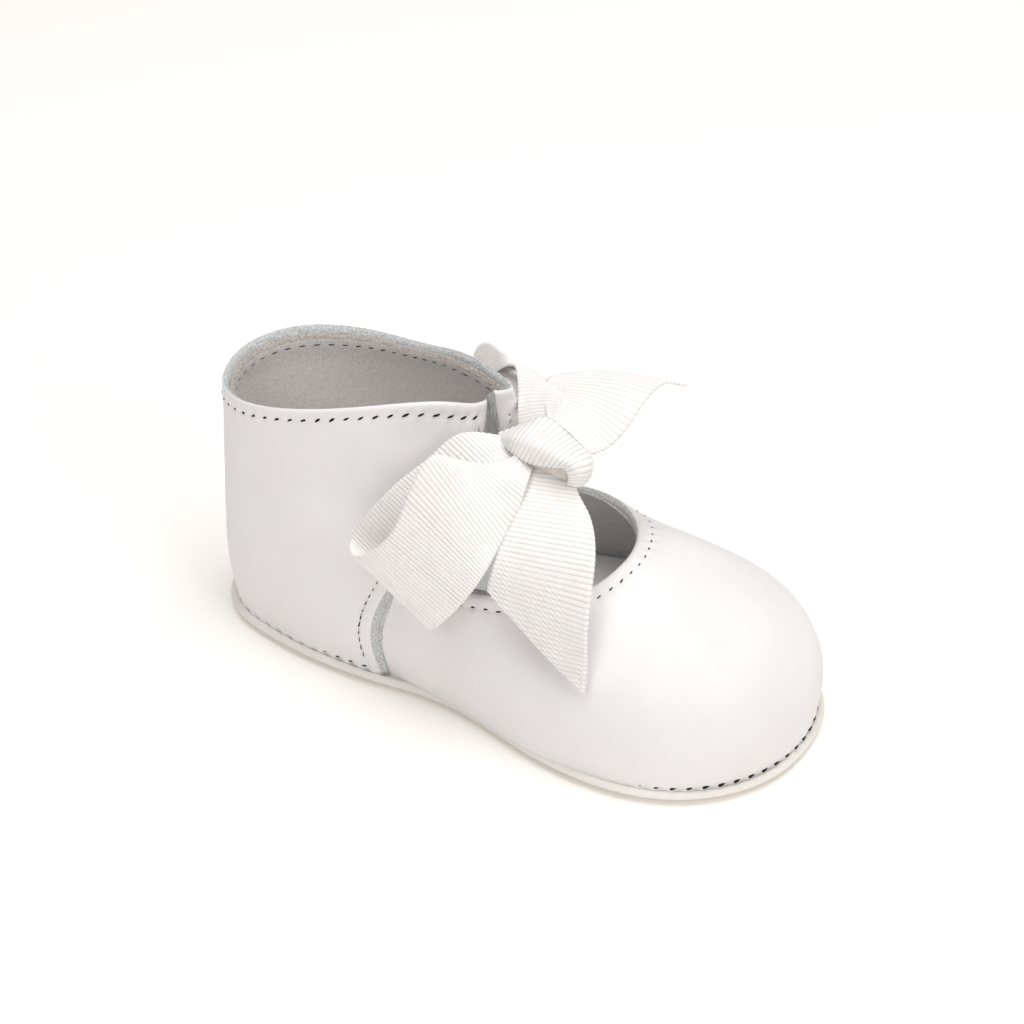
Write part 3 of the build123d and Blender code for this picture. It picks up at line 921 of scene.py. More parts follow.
# --------------------------------------------------------------------------
# Sole unit
# --------------------------------------------------------------------------
@dataclass
class SoleUnit:
    """Soft leather sole with a turned-up edge, foam pad and sock."""

    last: Last
    floor: float = 1.6
    pad_inset: float = 4.8
    cover_inset: float = 2.6
    pad_thick: float = 11.0
    cover_thick: float = 0.8
    ply_gap: float = 0.06
    crown: float = 0.5
    spring: float = 0.8
    points: int = 420
    fill: float = 0.9
    cap_rings: int = 26
    sway: float = 0.10
    sway_mm: float = 9.0

    def profile(self) -> Array:
        """Section of the sole's edge, a natural spline from the ground to the floor.

        Returns:
            Inset and height of each point.
        """
        stations = [(6.0, 0.0), (4.2, 0.0), (2.8, 0.1), (1.3, 0.4), (0.3, 0.85), (0.0, 1.35),
                    (0.1, 1.85), (0.4, 2.25), (0.9, 2.45), (1.25, 2.35), (1.45, 2.1),
                    (1.7, 1.9), (2.6, 1.75), (3.4, 1.65), (6.0, 1.6)]
        return curve_through(stations, 46)

    def offset(self, inset: Array) -> Array:
        """Moves the sole's outline inwards along its normals.

        Args:
            inset: distances.

        Returns:
            Plan points, along the outline by the insets.
        """
        line = self.last.sole_line(self.points)
        ahead = np.roll(line, -1, axis=0) - np.roll(line, 1, axis=0)
        normal = unit(np.column_stack([-ahead[:, 1], ahead[:, 0]]))
        return line[:, None] + normal[:, None] * np.asarray(inset)[None, :, None]

    def capped(self, work: Patchwork, ring: Array, height: float, flip: bool,
               dome: float = 0.0) -> None:
        """Fills a ring with ever smaller rings, down to a line along the middle.

        Args:
            work: patches to add to.
            ring: plan points of the ring.
            height: height of the ring.
            flip: turn the faces over.
            dome: how far the middle rises above the ring.
        """
        spine = np.column_stack([np.clip(ring[:, 0], ring[:, 0].min() + 14,
                                         ring[:, 0].max() - 20), np.zeros(len(ring))])
        t = np.linspace(0, 1, self.cap_rings)[None, :, None]
        plan = ring[:, None] * (1 - t) + spine[:, None] * t
        z = height + dome * (1 - (1 - t) ** 2) * np.ones((len(ring), 1, 1))
        grid = np.concatenate([plan, z], -1)
        work.add(grid, 0, grid[..., :2], flip=flip, wrap=True)

    def outsole(self, leather: bpy.types.Material) -> bpy.types.Object:
        """Dish-shaped sole: the edge profile carried round the outline, and two caps.

        A slow wave lifts the edge here and there, and the underside springs up
        towards the rim.

        Args:
            leather: the sole's material.

        Returns:
            The new object.
        """
        profile = self.profile()
        plan = self.offset(profile[:, 0])
        run = arc(plan[:, :1], 0)
        sway = self.sway * noise(run / self.sway_mm, run * 0, 5)
        z = profile[None, :, 1] + sway * smooth(profile[:, 1], 1.5, 3.5)[None]
        z = z + self.spring * (1 - smooth(profile[:, 0], 1.2, 4.5))[None] * smooth(
            1.9 - profile[None, :, 1], 0.0, 1.6)
        grid = np.concatenate([plan, z[..., None]], -1)
        work = Patchwork()
        work.add(grid, 0, np.stack([run * np.ones_like(z), z], -1), wrap=True)
        self.capped(work, plan[:, 0], 0.0, flip=True)
        self.capped(work, plan[:, -1], profile[-1, 1], flip=False)
        return work.build("sole_leather_outsole", [leather])

    def cushion(self, name: str, low: float, high: float, dome: float, rim: float,
                material: bpy.types.Material) -> bpy.types.Object:
        """Flat pad with a half-round edge and a crowned top.

        Args:
            name: name of the piece.
            low: height of its underside.
            high: height of its top at the edge.
            dome: how far the top's middle rises.
            rim: inset of its edge from the sole's outline.
            material: its material.

        Returns:
            The new object.
        """
        r = min((high - low) / 2, 0.8)
        angle = np.linspace(-np.pi / 2, np.pi / 2, 9)
        inset = rim + r - r * np.cos(angle)
        z = (low + high) / 2 + (high - low) / 2 * np.sin(angle)
        plan = self.offset(inset)
        grid = np.concatenate([plan, np.broadcast_to(z, plan.shape[:2])[..., None]], -1)
        work = Patchwork()
        work.add(grid, 0, plan, wrap=True)
        self.capped(work, plan[:, 0], low, flip=True)
        self.capped(work, plan[:, -1], high, flip=False, dome=dome)
        return work.build(name, [material])

    def make(self) -> None:
        """Builds the sole, the foam pad and the sock, and dresses them."""
        leather = Leather(name="sole_leather_white", light="F1EDE8", dark="EBE5DF").make()
        foam = Plain("latex_foam", "E6DFD2", "D8D0C2", mottle_mm=0.8).make()
        sock = Plain("brushed_sock_lining", "F6F7F8", "E6E8EB", mottle_mm=0.5,
                     roughness=0.95, relief_mm=0.08).make()
        sole = self.outsole(leather)
        finish_piece(sole, "sole_leather", "outsole")
        low = self.floor + self.ply_gap
        pad = self.cushion("foam_pad", low, low + self.pad_thick, self.crown,
                           self.pad_inset, foam)
        finish_piece(pad, "insole_foam", "insole_pad")
        low += self.pad_thick + self.ply_gap
        cover = self.cushion("sock_cover", low, low + self.cover_thick, self.crown,
                             self.cover_inset, sock)
        finish_piece(cover, "insole_cover", "insole_cover")


# --------------------------------------------------------------------------
# Upper
# --------------------------------------------------------------------------
@dataclass
class QuarterMap:
    """The quarter's smooth face, each point's distance from its borders, and its plies."""

    face: Array
    down: Array
    up: Array
    along: Array
    back: Array
    ply: Array
    knit: Array


@dataclass
class Upper:
    """Quarter and vamp in leather, their linings and every stitch row."""

    last: Last
    leather: float = 1.2
    rim_leather: float = 1.35
    throat_extra: float = 0.35
    lining: float = 0.45
    rim_lining: float = 0.95
    rim_slant: float = 0.84
    front_slant: float = 1.1
    ply_gap: float = 0.06
    rim_row: float = 2.6
    inside_row: float = 1.8
    strip_height: float = 14.0
    edge_row: float = 2.3
    seam_row: float = 0.9
    seam_thread: float = 1.5
    shoulder: float = 0.30
    shoulder_reach: float = 0.7
    fuzz: float = 0.10
    rim_stitch: Row = Row(length=1.6, width=0.58, sink=0.02, dent=0.22, pucker=0.075)
    inside_stitch: Row = Row(length=1.5, width=0.34, slant=0.1, sink=0.0)
    edge_stitch: Row = Row(pitch=1.85, length=1.5, width=0.36, slant=0.0, sink=0.05,
                           dent=0.18, pucker=0.03)
    throat_stitch: Row = Row(length=1.3, width=0.44, slant=0.12, sink=0.03,
                             dent=0.20, pucker=0.05)
    heel_seam: Row = Row(pitch=2.9, length=1.5, width=0.85, slant=0.0, sink=0.05,
                         dent=0.25, pucker=0.10)
    toe_seam: Row = Row(pitch=2.9, length=1.5, width=0.85, slant=0.0, sink=0.05,
                        dent=0.30, pucker=0.10)
    materials: dict[str, bpy.types.Material] = field(default_factory=dict)

    def prepare(self) -> None:
        """Makes the materials that the upper's pieces share."""
        self.materials = {
            "leather": Leather().make(),
            "cut": CutEdge().make(),
            "raw": CutEdge("lining_raw_edge", "CDC4BE", "8A7F79").make(),
            "lining": Lining().make(),
            "toe_lining": Lining("knitted_lining_shaded", "EEEBE9", "C4C0BD").make(),
            # Painted light: the lining's band below strip_height is drawn near white, standing in
            # for light reaching the low inside wall.
            "foot_strip_painted_light": Plain("lower_lining_painted_light", "F0F1F3", "DDDFE2", mottle_mm=0.5,
                                roughness=0.95).make(),
            "thread": Plain("waxed_cotton_thread", "2A2729", "0E0D0E", mottle_mm=0.25,
                            roughness=0.7).make()}

    def rounded(self, distance: Array) -> Array:
        """Depth of the rounded shoulder at a raw edge, by the distance from the edge."""
        return self.shoulder * (1 - smooth(distance, 0.0, self.shoulder_reach))

    def quarter_faces(self) -> tuple[Array, Array, QuarterMap]:
        """Faces of the quarter with the hollows of its stitch rows pressed in.

        Slow waves and fine creases of the soft leather are added, and every raw
        edge gets a rounded shoulder. Both plies are thicker towards the rim.

        Returns:
            Outer face, inner face, and the map that places the rows.
        """
        u, v = np.linspace(0, 1, 331), np.linspace(0, 1, 101)
        face = self.last.quarter(u, v)
        down = arc(face[:, ::-1], 1)[:, ::-1]
        up = arc(face, 1)
        along = arc(face, 0)
        back = arc(face[::-1], 0)[::-1]
        inside_ends = smooth(np.minimum(along, back), 0.5, 3.5)
        s_rim = arc(face[:, -5:-4], 0)
        depth = self.rim_stitch.relief(s_rim, down - self.rim_row) * inside_ends
        low_ends = smooth(down, 1.0, 6.0)
        for near in (along, back):
            depth += self.edge_stitch.relief(up, near - self.edge_row) * low_ends
        depth += self.heel_seam.relief(arc(face[:, :1], 0), up - self.seam_row) * 0.8
        depth += 0.16 * noise(along / 13.0, up / 9.0, 21) * smooth(down, 1, 8)
        depth += 0.035 * noise(along / 3.0, up / 1.6, 22) * smooth(down, 1, 5)
        depth += self.rounded(down) + self.rounded(np.minimum(along, back))
        outer = inward(face, depth)
        ply = self.leather + (self.rim_leather - self.leather) * (1 - smooth(down, 5, 14))
        knit = self.lining + (self.rim_lining - self.lining) * (1 - smooth(down, 2, 8))
        at = QuarterMap(face, down, up, along, back, ply, knit)
        return outer, self.inner_face(at, ply), at

    def inner_face(self, at: QuarterMap, depth: Array) -> Array:
        """Face at a depth behind the quarter's outer one, with slanted cut edges.

        Near the rim it slides down, and near the two front edges it slides
        forward, by the depth times the slant of the cut.

        Args:
            at: the quarter's map.
            depth: depth at each point.

        Returns:
            The grid of the inner face.
        """
        face = at.face
        down_way = -unit(np.gradient(face, axis=1))
        u_way = unit(np.gradient(face, axis=0))
        drop = (depth * self.rim_slant * (1 - smooth(at.down, 0, 5)))[..., None]
        low = self.front_slant * (1 - 0.8 * smooth(at.up, 22, 36))
        front = (depth * low * (1 - smooth(at.along, 0, 4)))[..., None]
        rear = (depth * low * (1 - smooth(at.back, 0, 4)))[..., None]
        return inward(face, depth) + down_way * drop + u_way * (rear - front)

    def quarter(self) -> None:
        """Builds the quarter, its lining and its stitch rows."""
        m = self.materials
        outer, inner, at = self.quarter_faces()
        work = sheet_mesh(outer, inner, (0, 1, 1, 1, 0, 1), rows=9, swell=0.15,
                          fuzz=self.fuzz, seed=3)
        obj = work.build("quarter_leather", [m["leather"], m["cut"]])
        finish_piece(obj, "upper_leather", "quarter")
        rows = slice(6, None)
        near = self.inner_face(at, at.ply + self.ply_gap)[:, rows]
        far = self.inner_face(at, at.ply + self.ply_gap + at.knit)[:, rows]
        work = sheet_mesh(far, near, (0, 0, 1, 1, 0, 2), rows=7, swell=0.12,
                          fuzz=self.fuzz * 1.6, seed=7)
        obj = work.build("quarter_lining_knit", [m["lining"], m["cut"], m["raw"]])
        finish_piece(obj, "lining", "quarter_lining")
        facing = unit(outer - inner)
        self.topline(outer, facing, at)
        self.edges(outer, facing, at)

    def line_at(self, grid: Array, distance: Array, value: float) -> Array:
        """Line across a grid's rows where a distance takes a value.

        Args:
            grid: points or normals.
            distance: distance at each of them, rising or falling along each row.
            value: the distance to look for.

        Returns:
            One linearly interpolated entry for each row.
        """
        rising = distance[:, -1] > distance[:, 0]
        out = np.empty((len(grid), 3))
        for i in range(len(grid)):
            d = distance[i] if rising[i] else distance[i, ::-1]
            g = grid[i] if rising[i] else grid[i, ::-1]
            out[i] = [np.interp(value, d, g[:, k]) for k in range(3)]
        return out

    @staticmethod
    def heel_slant(f: Array) -> Array:
        """Turn of the rim's stitches, which lean the other way round the heel."""
        return 0.42 - 0.75 * smooth(np.abs(f - 0.5), 0.16, 0.02)

    @staticmethod
    def toe_size(f: Array) -> Array:
        """Scale of the vamp's seam stitches: open round the toe, closed along the waist."""
        return 1.05 * smooth(0.24 - np.abs(f - 0.5), 0.0, 0.10)

    @staticmethod
    def front_size(f: Array) -> Array:
        """Scale of the quarter's seam stitches: they show only near its two front edges."""
        return 0.75 * smooth(np.abs(f - 0.5), 0.34, 0.42)

    def topline(self, outer: Array, facing: Array, at: QuarterMap) -> None:
        """Builds two stitch rows under the rim: outside, and where they come through inside.

        Args:
            outer: the quarter's outer face.
            facing: its outward normals.
            at: the quarter's map.
        """
        inside_ends = slice(8, -8)
        line = self.line_at(outer, at.down, self.rim_row)[inside_ends]
        up = self.line_at(facing, at.down, self.rim_row)[inside_ends]
        work = self.rim_stitch.thread(line, unit(up), 31, slant=self.heel_slant)
        lining = self.inner_face(at, at.ply + self.ply_gap + at.knit)
        inside = self.line_at(lining, at.down, self.inside_row)[inside_ends]
        work.take(self.inside_stitch.thread(inside, -unit(up), 32))
        obj = work.build("topline_stitches", [self.materials["thread"]])
        finish_piece(obj, "thread", "topline_stitching")

    def edges(self, outer: Array, facing: Array, at: QuarterMap) -> None:
        """Builds the stitch rows beside the two front edges of the quarter.

        Args:
            outer: the quarter's outer face.
            facing: its outward normals.
            at: the quarter's map.
        """
        for name, distance, node in (("near_edge_stitches", at.along, "near_edge_stitching"),
                                     ("far_edge_stitches", at.back, "far_edge_stitching")):
            line = self.line_at(outer.transpose(1, 0, 2), distance.T, self.edge_row)
            up = self.line_at(facing.transpose(1, 0, 2), distance.T, self.edge_row)
            work = self.edge_stitch.thread(line[5:-6], unit(up[5:-6]), 41)
            obj = work.build(name, [self.materials["thread"]])
            finish_piece(obj, "thread", node)

    def vamp(self) -> None:
        """Builds the vamp, its lining, the throat stitches and the sole seam."""
        m = self.materials
        u, v = np.linspace(0, 1, 381), np.linspace(0, 1, 97)
        face = self.last.vamp(u, v)
        down = arc(face[:, ::-1], 1)[:, ::-1]
        up, along = arc(face, 1), arc(face, 0)
        ends = smooth(np.minimum(along, along[-1] - along), 6, 14)
        depth = self.throat_stitch.relief(arc(face[:, -4:-3], 0), down - self.rim_row) * ends
        toe = smooth(0.24 - np.abs(along / along[-1] - 0.5), 0.0, 0.1)
        seam = self.toe_seam.relief(arc(face[:, :1], 0), up - self.seam_row)
        depth += seam * (0.15 + 0.85 * toe)
        depth += 0.12 * noise(along / 12.0, up / 10.0, 51) * smooth(down, 1, 8)
        depth += self.rounded(down)
        outer = inward(face, depth)
        ply = self.leather + self.throat_extra * (1 - smooth(down, 3, 9))
        inner = inward(face, ply)
        work = sheet_mesh(outer, inner, (0, 1, 1, 1, 0, 1), rows=8, swell=0.2,
                          fuzz=self.fuzz, seed=13)
        obj = work.build("vamp_leather", [m["leather"], m["cut"]])
        finish_piece(obj, "upper_leather", "vamp")
        rows = slice(8, None)
        depth = ply + self.ply_gap
        near, far = inward(face, depth)[:, rows], inward(face, depth + self.lining)[:, rows]
        work = sheet_mesh(far, near, (0, 0, 1, 1, 0, 1), rows=5, swell=0.1,
                          fuzz=self.fuzz, seed=17)
        # Quads below strip_height take the near-white strip colour: painted light on the lower
        # inside wall.
        self.strip_under(work, self.strip_height)
        obj = work.build("vamp_lining_knit", [m["toe_lining"], m["cut"], m["foot_strip_painted_light"]])
        finish_piece(obj, "lining", "vamp_lining")
        facing = unit(outer - inner)
        line, out = (self.line_at(g, down, self.rim_row)[40:-40] for g in (outer, facing))
        work = self.throat_stitch.thread(line, unit(out), 61)
        obj = work.build("throat_stitches", [m["thread"]])
        finish_piece(obj, "thread", "throat_stitching")
        self.sole_seam(outer, facing, up)

    def strip_under(self, work: Patchwork, height: float) -> None:
        """Gives the first patch's quads that lie under a height the third material."""
        z = work.points[0][:, 2][work.faces[0]].mean(axis=1)
        work.slots[0] = np.where(z < height, 2, work.slots[0])

    def sole_seam(self, outer: Array, facing: Array, up: Array) -> None:
        """Builds the seam stitches of the vamp and of the quarter.

        Args:
            outer: the vamp's outer face.
            facing: its outward normals.
            up: distance of its points from the seam.
        """
        line, out = (self.line_at(g, up, self.seam_thread)[16:-16] for g in (outer, facing))
        work = self.toe_seam.thread(line, unit(out), 71, size=self.toe_size)
        quarter, inner, _ = self.quarter_faces()
        line, out = (self.line_at(g, arc(quarter, 1), self.seam_thread)[6:-6]
                     for g in (quarter, unit(quarter - inner)))
        work.take(self.heel_seam.thread(line, unit(out), 72, size=self.front_size))
        obj = work.build("sole_seam_stitches", [self.materials["thread"]])
        finish_piece(obj, "thread", "sole_stitching")

    def make(self) -> None:
        """Builds the whole upper."""
        self.prepare()
        self.quarter()
        self.vamp()


# --------------------------------------------------------------------------
# Bow
# --------------------------------------------------------------------------
class Held(Enum):
    """What keeps a run of ribbon in its shape."""

    GATHERED = "gathered"
    HUNG = "hung"
    STRETCHED = "stretched"


@dataclass
class Ribbon:
    """A run of grosgrain given by rows of points across it, from selvedge to selvedge."""

    name: str
    edges: list
    flat: tuple
    held: Held
    cut: list | None = None
    thick: float = 0.36
    rib: float = RIB_MM
    relief: float = 0.24
    scallop: float = 0.16
    step: float = 0.11
    across: int = 33
    half_width: float = 10.0
    sway: float = 0.12
    sway_mm: float = 7.0
    jag: float = 0.35
    seed: int = 0
    node: str = ""
    body: str = "shoe"
    rests_on: tuple = ()
    cut_area: float | None = None

    def surface(self) -> tuple[Array, Array]:
        """Middle surface of the run and the distance along it.

        Both selvedges are natural splines through their points. Where the end is
        cut, the distance along the run is scaled, for each line along it, to the
        cut's own place there.

        Returns:
            Grid of points, and the rib distance at each of them.
        """
        pairs = np.array(self.edges, float)
        s = chord(pairs.mean(axis=1))
        length = np.linalg.norm(np.diff(pairs.mean(axis=1), axis=0), axis=1).sum()
        w = np.linspace(0, 1, self.across)
        count = int(length / self.step)
        t = np.linspace(0, 1, count)[:, None] * np.ones(self.across)
        if self.cut is not None:
            stops = np.array(self.cut, float)
            end = np.interp(w, stops[:, 0], stops[:, 1])
            jag = self.jag / length * np.abs((end * length / self.rib * 2) % 2 - 1)
            t = t * (end - jag)[None]
        weights = spline_weights(s, t.ravel())
        blend = spline_weights(np.linspace(0, 1, pairs.shape[1]), w)
        lines = np.einsum("ai,ijk->ajk", weights, pairs).reshape(count, self.across, -1, 3)
        return np.einsum("abjk,bj->abk", lines, blend), t * length

    def build(self, material: bpy.types.Material) -> bpy.types.Object:
        """Makes the run: both faces carry the ribs, and the selvedges are scalloped.

        A rib is a half ellipse, so the grooves between ribs are narrow and sharp.
        Slow noise along the run keeps it from lying perfectly smooth.

        Args:
            material: the ribbon's material.

        Returns:
            The new object.
        """
        middle, run = self.surface()
        middle = place(middle)
        phase = (run / self.rib) % 1
        ribs = np.sqrt(np.clip(1 - (2 * phase - 1) ** 2, 0, 1))
        w = np.linspace(-1, 1, self.across)[None, :]
        edge = smooth(np.abs(w), 0.90, 1.0)
        side = np.gradient(middle, axis=1)
        side = unit(side) * np.sign(w)[..., None]
        middle = middle + side * (edge * (ribs - 0.5) * self.scallop)[..., None]
        flow = noise(run / self.sway_mm + self.seed, w * 2.0 + 5, self.seed + 90)
        facing = normals(middle)
        middle = middle + facing * (self.sway * flow)[..., None]
        half = (self.thick / 2 + self.relief * (ribs - 0.6) * (1 - 0.45 * edge))[..., None]
        top, low = middle + facing * half, middle - facing * half
        uv = np.stack([run * RIB_MM / self.rib,
                       np.broadcast_to(w, run.shape) * self.half_width], -1)
        work = Patchwork()
        work.add(top, 0, uv)
        work.add(low, 0, uv, flip=True)
        t = np.linspace(0, 1, 4)[None, :, None]
        for side in Side:
            a, b = border(top, side), border(low, side)
            work.add(a[:, None] * (1 - t) + b[:, None] * t, 0,
                     np.repeat(border(uv, side)[:, None], 4, axis=1),
                     flip=side in (Side.HIGH_U, Side.LOW_V))
        return work.build(self.name, [material], weld=0.001)


@dataclass
class Bow:
    """Ribbon bow: band through the ears, knot, two loops and two cut tails."""

    near_loop: list = field(default_factory=lambda: [
        ((60.9, -5.0, 51.5), (62.5, -5.5, 48.4)), ((58.2, -10.5, 50.8), (64.0, -11.0, 48.2)),
        ((53.6, -15.5, 53.1), (63.7, -14.5, 43.5)), ((50.6, -19.0, 55.1), (62.9, -18.5, 40.2)),
        ((48.2, -22.0, 50.5), (62.2, -22.0, 37.5)), ((45.8, -24.3, 42.1), (60.3, -24.6, 33.3)),
        ((42.4, -25.2, 37.1), (57.0, -25.8, 28.3)), ((36.8, -23.5, 33.2), (52.4, -24.6, 23.1)),
        ((35.1, -21.3, 33.3), (51.3, -22.6, 22.6)), ((37.8, -19.3, 39.3), (53.7, -20.6, 28.6)),
        ((43.1, -16.2, 46.4), (58.6, -18.0, 37.6)), ((47.0, -12.5, 50.3), (61.4, -14.5, 42.5)),
        ((51.1, -8.8, 53.7), (62.0, -10.2, 47.3)), ((56.0, -5.0, 52.3), (61.8, -6.0, 49.3))])
    far_loop: list = field(default_factory=lambda: [
        ((56.5, 1.2, 50.3), (59.7, 0.8, 52.6), (63.1, 0.8, 54.3)),
        ((54.8, 4.5, 51.1), (58.4, 4.5, 53.1), (62.7, 4.5, 54.4)),
        ((52.7, 8.5, 52.3), (56.8, 8.5, 53.8), (61.8, 8.5, 54.2)),
        ((50.7, 12.0, 53.0), (55.3, 12.0, 53.6), (60.5, 12.0, 52.8)),
        ((48.0, 15.5, 52.6), (50.7, 16.5, 51.6), (57.5, 15.0, 50.8)),
        ((44.9, 18.0, 49.8), (45.6, 19.0, 51.4), (53.6, 17.5, 49.3)),
        ((42.3, 20.0, 46.9), (41.1, 21.5, 51.2), (49.1, 20.0, 48.6)),
        ((39.9, 21.5, 43.9), (37.9, 23.0, 49.7), (44.6, 22.5, 48.2)),
        ((38.5, 22.5, 39.9), (36.3, 24.5, 45.9), (46.2, 24.3, 45.2)),
        ((39.9, 20.5, 40.6), (41.3, 22.3, 45.5), (49.9, 22.0, 45.4)),
        ((43.2, 17.5, 47.0), (48.4, 18.0, 47.8), (54.6, 17.5, 48.6)),
        ((48.5, 12.5, 49.6), (52.1, 12.5, 48.5), (57.1, 12.0, 49.1)),
        ((52.4, 8.5, 50.1), (55.3, 8.5, 49.8), (59.4, 8.0, 50.5)),
        ((55.2, 4.5, 50.0), (58.3, 4.0, 50.9), (61.6, 3.5, 52.2))])
    near_tail: list = field(default_factory=lambda: [
        ((62.7, -5.0, 48.2), (69.4, -3.0, 48.6)), ((62.7, -8.5, 47.5), (70.9, -6.0, 47.1)),
        ((63.7, -13.0, 45.3), (75.3, -10.0, 45.3)), ((63.4, -16.5, 42.4), (78.6, -14.5, 43.1)),
        ((62.7, -20.0, 38.2), (80.2, -18.5, 39.0)), ((62.4, -22.5, 33.0), (81.1, -22.0, 32.3)),
        ((62.6, -24.2, 24.5), (82.0, -24.2, 25.5)), ((62.8, -25.2, 19.0), (82.2, -25.4, 20.2))])
    near_cut: list = field(default_factory=lambda: [
        (0.0, 0.66), (0.25, 0.74), (0.5, 0.83), (0.75, 0.92), (1.0, 1.0)])
    far_tail: list = field(default_factory=lambda: [
        ((62.6, 0.0, 54.4), (66.2, -0.3, 53.6), (70.8, -0.5, 50.2)),
        ((60.2, 3.8, 53.8), (66.6, 3.0, 53.8), (72.4, 2.5, 50.1)),
        ((58.2, 7.3, 53.3), (66.0, 7.0, 54.5), (74.1, 6.5, 51.9)),
        ((56.8, 10.3, 53.2), (65.6, 11.0, 55.3), (75.1, 11.5, 54.8)),
        ((56.6, 12.0, 53.8), (64.8, 15.0, 55.5), (75.6, 16.5, 55.5)),
        ((56.7, 15.0, 53.1), (64.4, 18.5, 54.2), (76.5, 20.5, 54.3)),
        ((57.5, 17.5, 52.3), (65.6, 21.0, 52.8), (78.5, 23.0, 52.7))])
    far_cut: list = field(default_factory=lambda: [
        (0.0, 0.92), (0.4, 0.95), (0.75, 0.97), (1.0, 1.0)])
    wrap: list = field(default_factory=lambda: [
        ((56.6, -5.5, 51.7), (55.8, -5.0, 52.0), (55.1, -4.0, 51.8)),
        ((58.5, -7.0, 51.6), (59.0, -6.5, 54.1), (58.9, -2.5, 54.1)),
        ((60.5, -7.5, 51.1), (61.9, -7.0, 54.7), (62.7, -1.5, 56.1)),
        ((62.9, -7.5, 50.4), (64.7, -7.2, 54.3), (65.7, -1.0, 54.5)),
        ((65.8, -7.5, 50.7), (67.7, -7.2, 54.0), (68.2, -1.0, 52.8)),
        ((68.0, -7.5, 51.2), (69.8, -7.0, 53.3), (70.3, -1.5, 52.1)),
        ((69.5, -7.5, 51.3), (71.5, -7.0, 52.6), (72.4, -3.0, 51.4)),
        ((70.1, -7.5, 50.4), (72.1, -7.0, 51.0), (72.9, -4.0, 50.0)),
        ((69.9, -7.0, 48.8), (71.5, -6.6, 48.9), (72.4, -4.5, 47.9)),
        ((69.3, -6.5, 47.3), (70.7, -6.4, 47.3), (71.6, -5.5, 47.0))])
    core: list = field(default_factory=lambda: [
        (56.2, -2.5, 50.6, 0.6), (58.0, -2.8, 50.8, 2.2), (62.0, -3.0, 51.0, 3.5),
        (66.0, -3.2, 50.4, 3.4), (70.0, -3.4, 49.4, 2.6), (72.2, -4.0, 48.8, 0.6)])
    band_path: list = field(default_factory=lambda: [
        (60.6, -2.6), (56.5, -5.2), (51.2, -6.6), (47.6, -5.0), (45.6, -1.6), (44.6, 3.0),
        (44.9, 7.6), (49.2, 11.4), (54.6, 8.4), (60.6, 1.2)])
    band_heights: tuple = (38.5, 45.5)
    core_rib: float = 1.12
    core_relief: float = 0.14

    def make(self) -> None:
        ribbon = Grosgrain().make()
        band = [tuple((x, y, z) for z in self.band_heights) for x, y in self.band_path]
        runs = (
            Ribbon("near_loop_ribbon", self.near_loop, flat=(0.020, 0.080), held=Held.GATHERED,
                   rib=0.76, seed=1, node="near_loop", body="near_loop",
                   rests_on=("quarter_leather",)),
            Ribbon("far_loop_ribbon", self.far_loop, flat=(0.0135, 0.064), held=Held.GATHERED,
                   seed=2, node="far_loop", body="far_loop", rests_on=("quarter_leather",)),
            Ribbon("near_tail_ribbon", self.near_tail, flat=(0.020, 0.040), held=Held.HUNG,
                   cut=self.near_cut, seed=3, node="near_tail", body="near_tail",
                   rests_on=("vamp_leather",), cut_area=0.00062),
            Ribbon("far_tail_ribbon", self.far_tail, flat=(0.021, 0.023), held=Held.HUNG,
                   cut=self.far_cut, seed=4, node="far_tail", body="far_tail",
                   rests_on=("far_loop_ribbon",), cut_area=0.00042),
            Ribbon("ear_band_ribbon", band, flat=(0.010, 0.049), held=Held.STRETCHED,
                   seed=5, node="ribbon_band", rests_on=("quarter_leather",)),
            Ribbon("knot_wrap_ribbon", self.wrap, flat=(0.010, 0.021), held=Held.GATHERED,
                   seed=6, rests_on=("knot_core_ribbon",)))
        for run in runs:
            obj = run.build(ribbon)
            nodes = (run.node,) if run.node else ()
            finish_piece(obj, "ribbon", *nodes, body=run.body)
        finish_piece(self.knot_core(ribbon), "ribbon", "ribbon_knot")

    def knot_core(self, ribbon: bpy.types.Material) -> bpy.types.Object:
        """Gathered ribbon inside the knot.

        Ribbed rings run along a bent line and close to a point at its ends. Each
        ring is a circle with three shallow folds.

        Args:
            ribbon: the ribbon's material.

        Returns:
            The new object.
        """
        stations = np.array(self.core, float)
        line = curve_through(stations, 121)
        angle = np.linspace(0, 2 * np.pi, 64, endpoint=False)
        run = arc(line[:, None, :3], 0)[:, 0]
        ribs = np.sqrt(np.clip(1 - (2 * ((run / self.core_rib) % 1) - 1) ** 2, 0, 1))
        radius = np.maximum(line[:, 3], 0.05) + self.core_relief * ribs
        radius[[0, -1]] = 0.001
        fold = 1 + 0.06 * np.cos(3 * angle + 0.6)
        ring = np.stack([np.zeros_like(angle), np.cos(angle) * fold, np.sin(angle) * fold], -1)
        grid = line[None, :, :3] + radius[None, :, None] * ring[:, None]
        work = Patchwork()
        work.add(place(grid), wrap=True)
        return work.build("knot_core_ribbon", [ribbon])


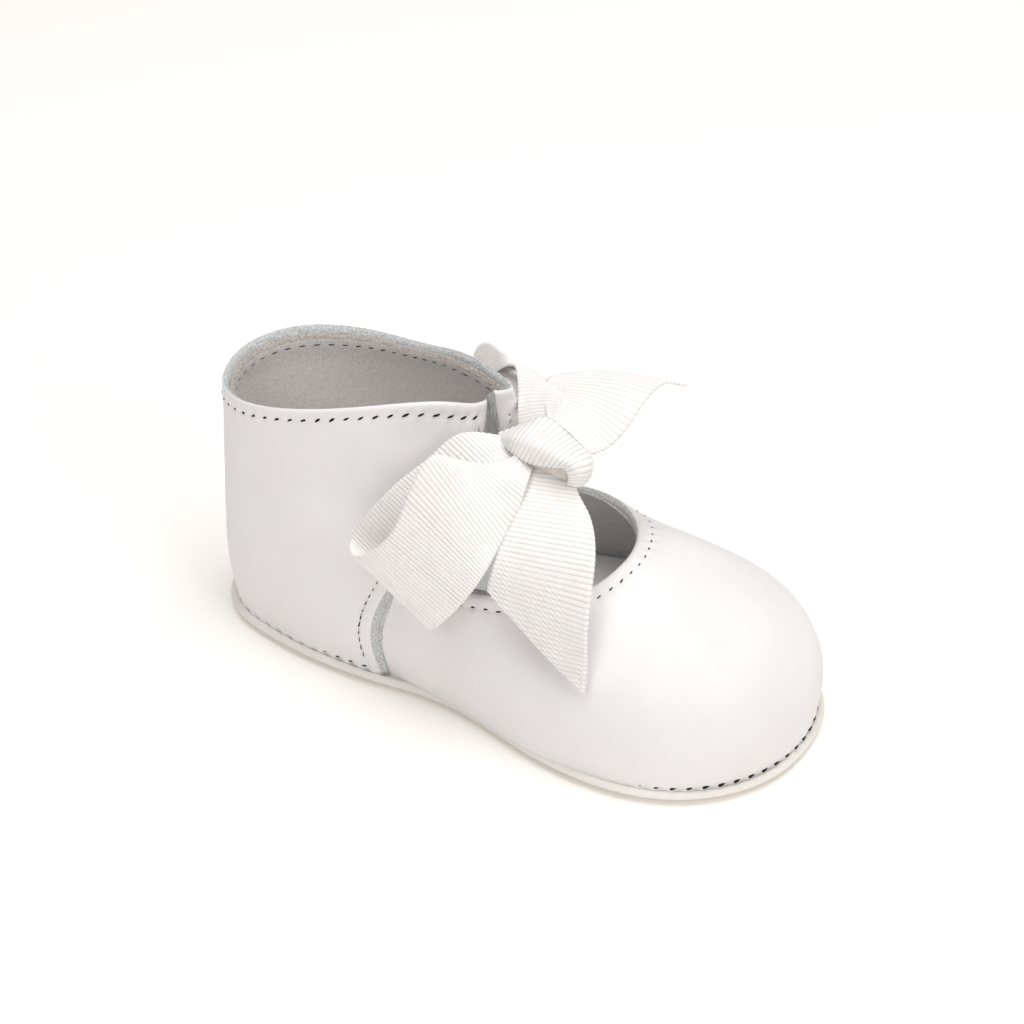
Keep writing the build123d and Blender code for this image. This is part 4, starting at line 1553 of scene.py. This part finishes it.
# --------------------------------------------------------------------------
# Studio
# --------------------------------------------------------------------------
@dataclass
class Studio:
    """White floor, soft lights and the camera."""

    azimuth: float = 27.0
    elevation: float = 36.0
    distance: float = 0.51383
    target: tuple = (-0.021378, 0.040402, 0.0)
    lens: float = 91.4
    sensor: float = 36.0
    floor_size: float = 3.0
    floor_drop: float = 0.00002
    aim: tuple = (0.0, 0.0, 0.02)
    sky: tuple = (1.0, 0.99, 0.98, 1.0)
    sky_strength: float = 0.22
    # Name, place in metres, side of the square in metres and power in watts
    lamps: tuple = (("key_light", (0.12, 0.06, 1.25), 1.2, 13.6),
                    ("front_light", (0.8, -0.3, 0.6), 0.5, 1.9),
                    ("side_light", (0.05, -0.85, 0.75), 0.4, 2.1))

    def back(self) -> Vector:
        """Unit vector from the shoe to the camera."""
        a, e = np.radians(self.azimuth), np.radians(self.elevation)
        return Vector((np.sin(a) * np.cos(e), -np.cos(a) * np.cos(e), np.sin(e)))

    def camera(self) -> None:
        """Creates the camera and makes it the scene's."""
        data = bpy.data.cameras.new("studio_camera")
        data.lens, data.sensor_width = self.lens, self.sensor
        data.clip_start, data.clip_end = 0.01, 20.0
        cam = bpy.data.objects.new("studio_camera", data)
        bpy.context.scene.collection.objects.link(cam)
        cam.location = Vector(self.target) + self.back() * self.distance
        cam.rotation_euler = self.back().to_track_quat("Z", "Y").to_euler()
        bpy.context.scene.camera = cam

    def area(self, name: str, at: tuple, size: float, power: float) -> None:
        """Adds a square soft light that faces the shoe.

        Args:
            name: name of the light.
            at: its place in metres.
            size: side of the square in metres.
            power: its power in watts.
        """
        data = bpy.data.lights.new(name, "AREA")
        data.shape, data.size, data.energy = "SQUARE", size, power
        lamp = bpy.data.objects.new(name, data)
        bpy.context.scene.collection.objects.link(lamp)
        lamp.location = at
        aim = Vector(at) - Vector(self.aim)
        lamp.rotation_euler = aim.to_track_quat("Z", "Y").to_euler()

    def floor(self) -> None:
        """Large white sweep under the shoe."""
        half = self.floor_size / 2
        line = np.linspace(-half, half, 13)
        x, y = np.meshgrid(line, line, indexing="ij")
        work = Patchwork()
        work.add(np.stack([x, y, np.full_like(x, -self.floor_drop)], -1) / MM)
        obj = work.build("studio_floor", [Paper().make()], turn=False)

    def world(self) -> None:
        """Even white surroundings."""
        world = bpy.data.worlds.new("studio_white")
        world.use_nodes = True
        ground = world.node_tree.nodes["Background"]
        ground.inputs["Color"].default_value = self.sky
        ground.inputs["Strength"].default_value = self.sky_strength
        bpy.context.scene.world = world

    def make(self) -> None:
        """Builds the studio."""
        self.camera()
        self.floor()
        self.world()
        for name, at, size, power in self.lamps:
            self.area(name, at, size, power)
        scene = bpy.context.scene
        scene.view_settings.view_transform = "Standard"
        scene.view_settings.look = "None"


def main() -> None:
    """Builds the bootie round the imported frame."""
    logging.basicConfig(level=logging.INFO, format="%(name)s: %(message)s")
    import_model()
    last = Last()
    SoleUnit(last).make()
    Upper(last).make()
    Bow().make()
    Studio().make()


if __name__ == "__main__":
    main()
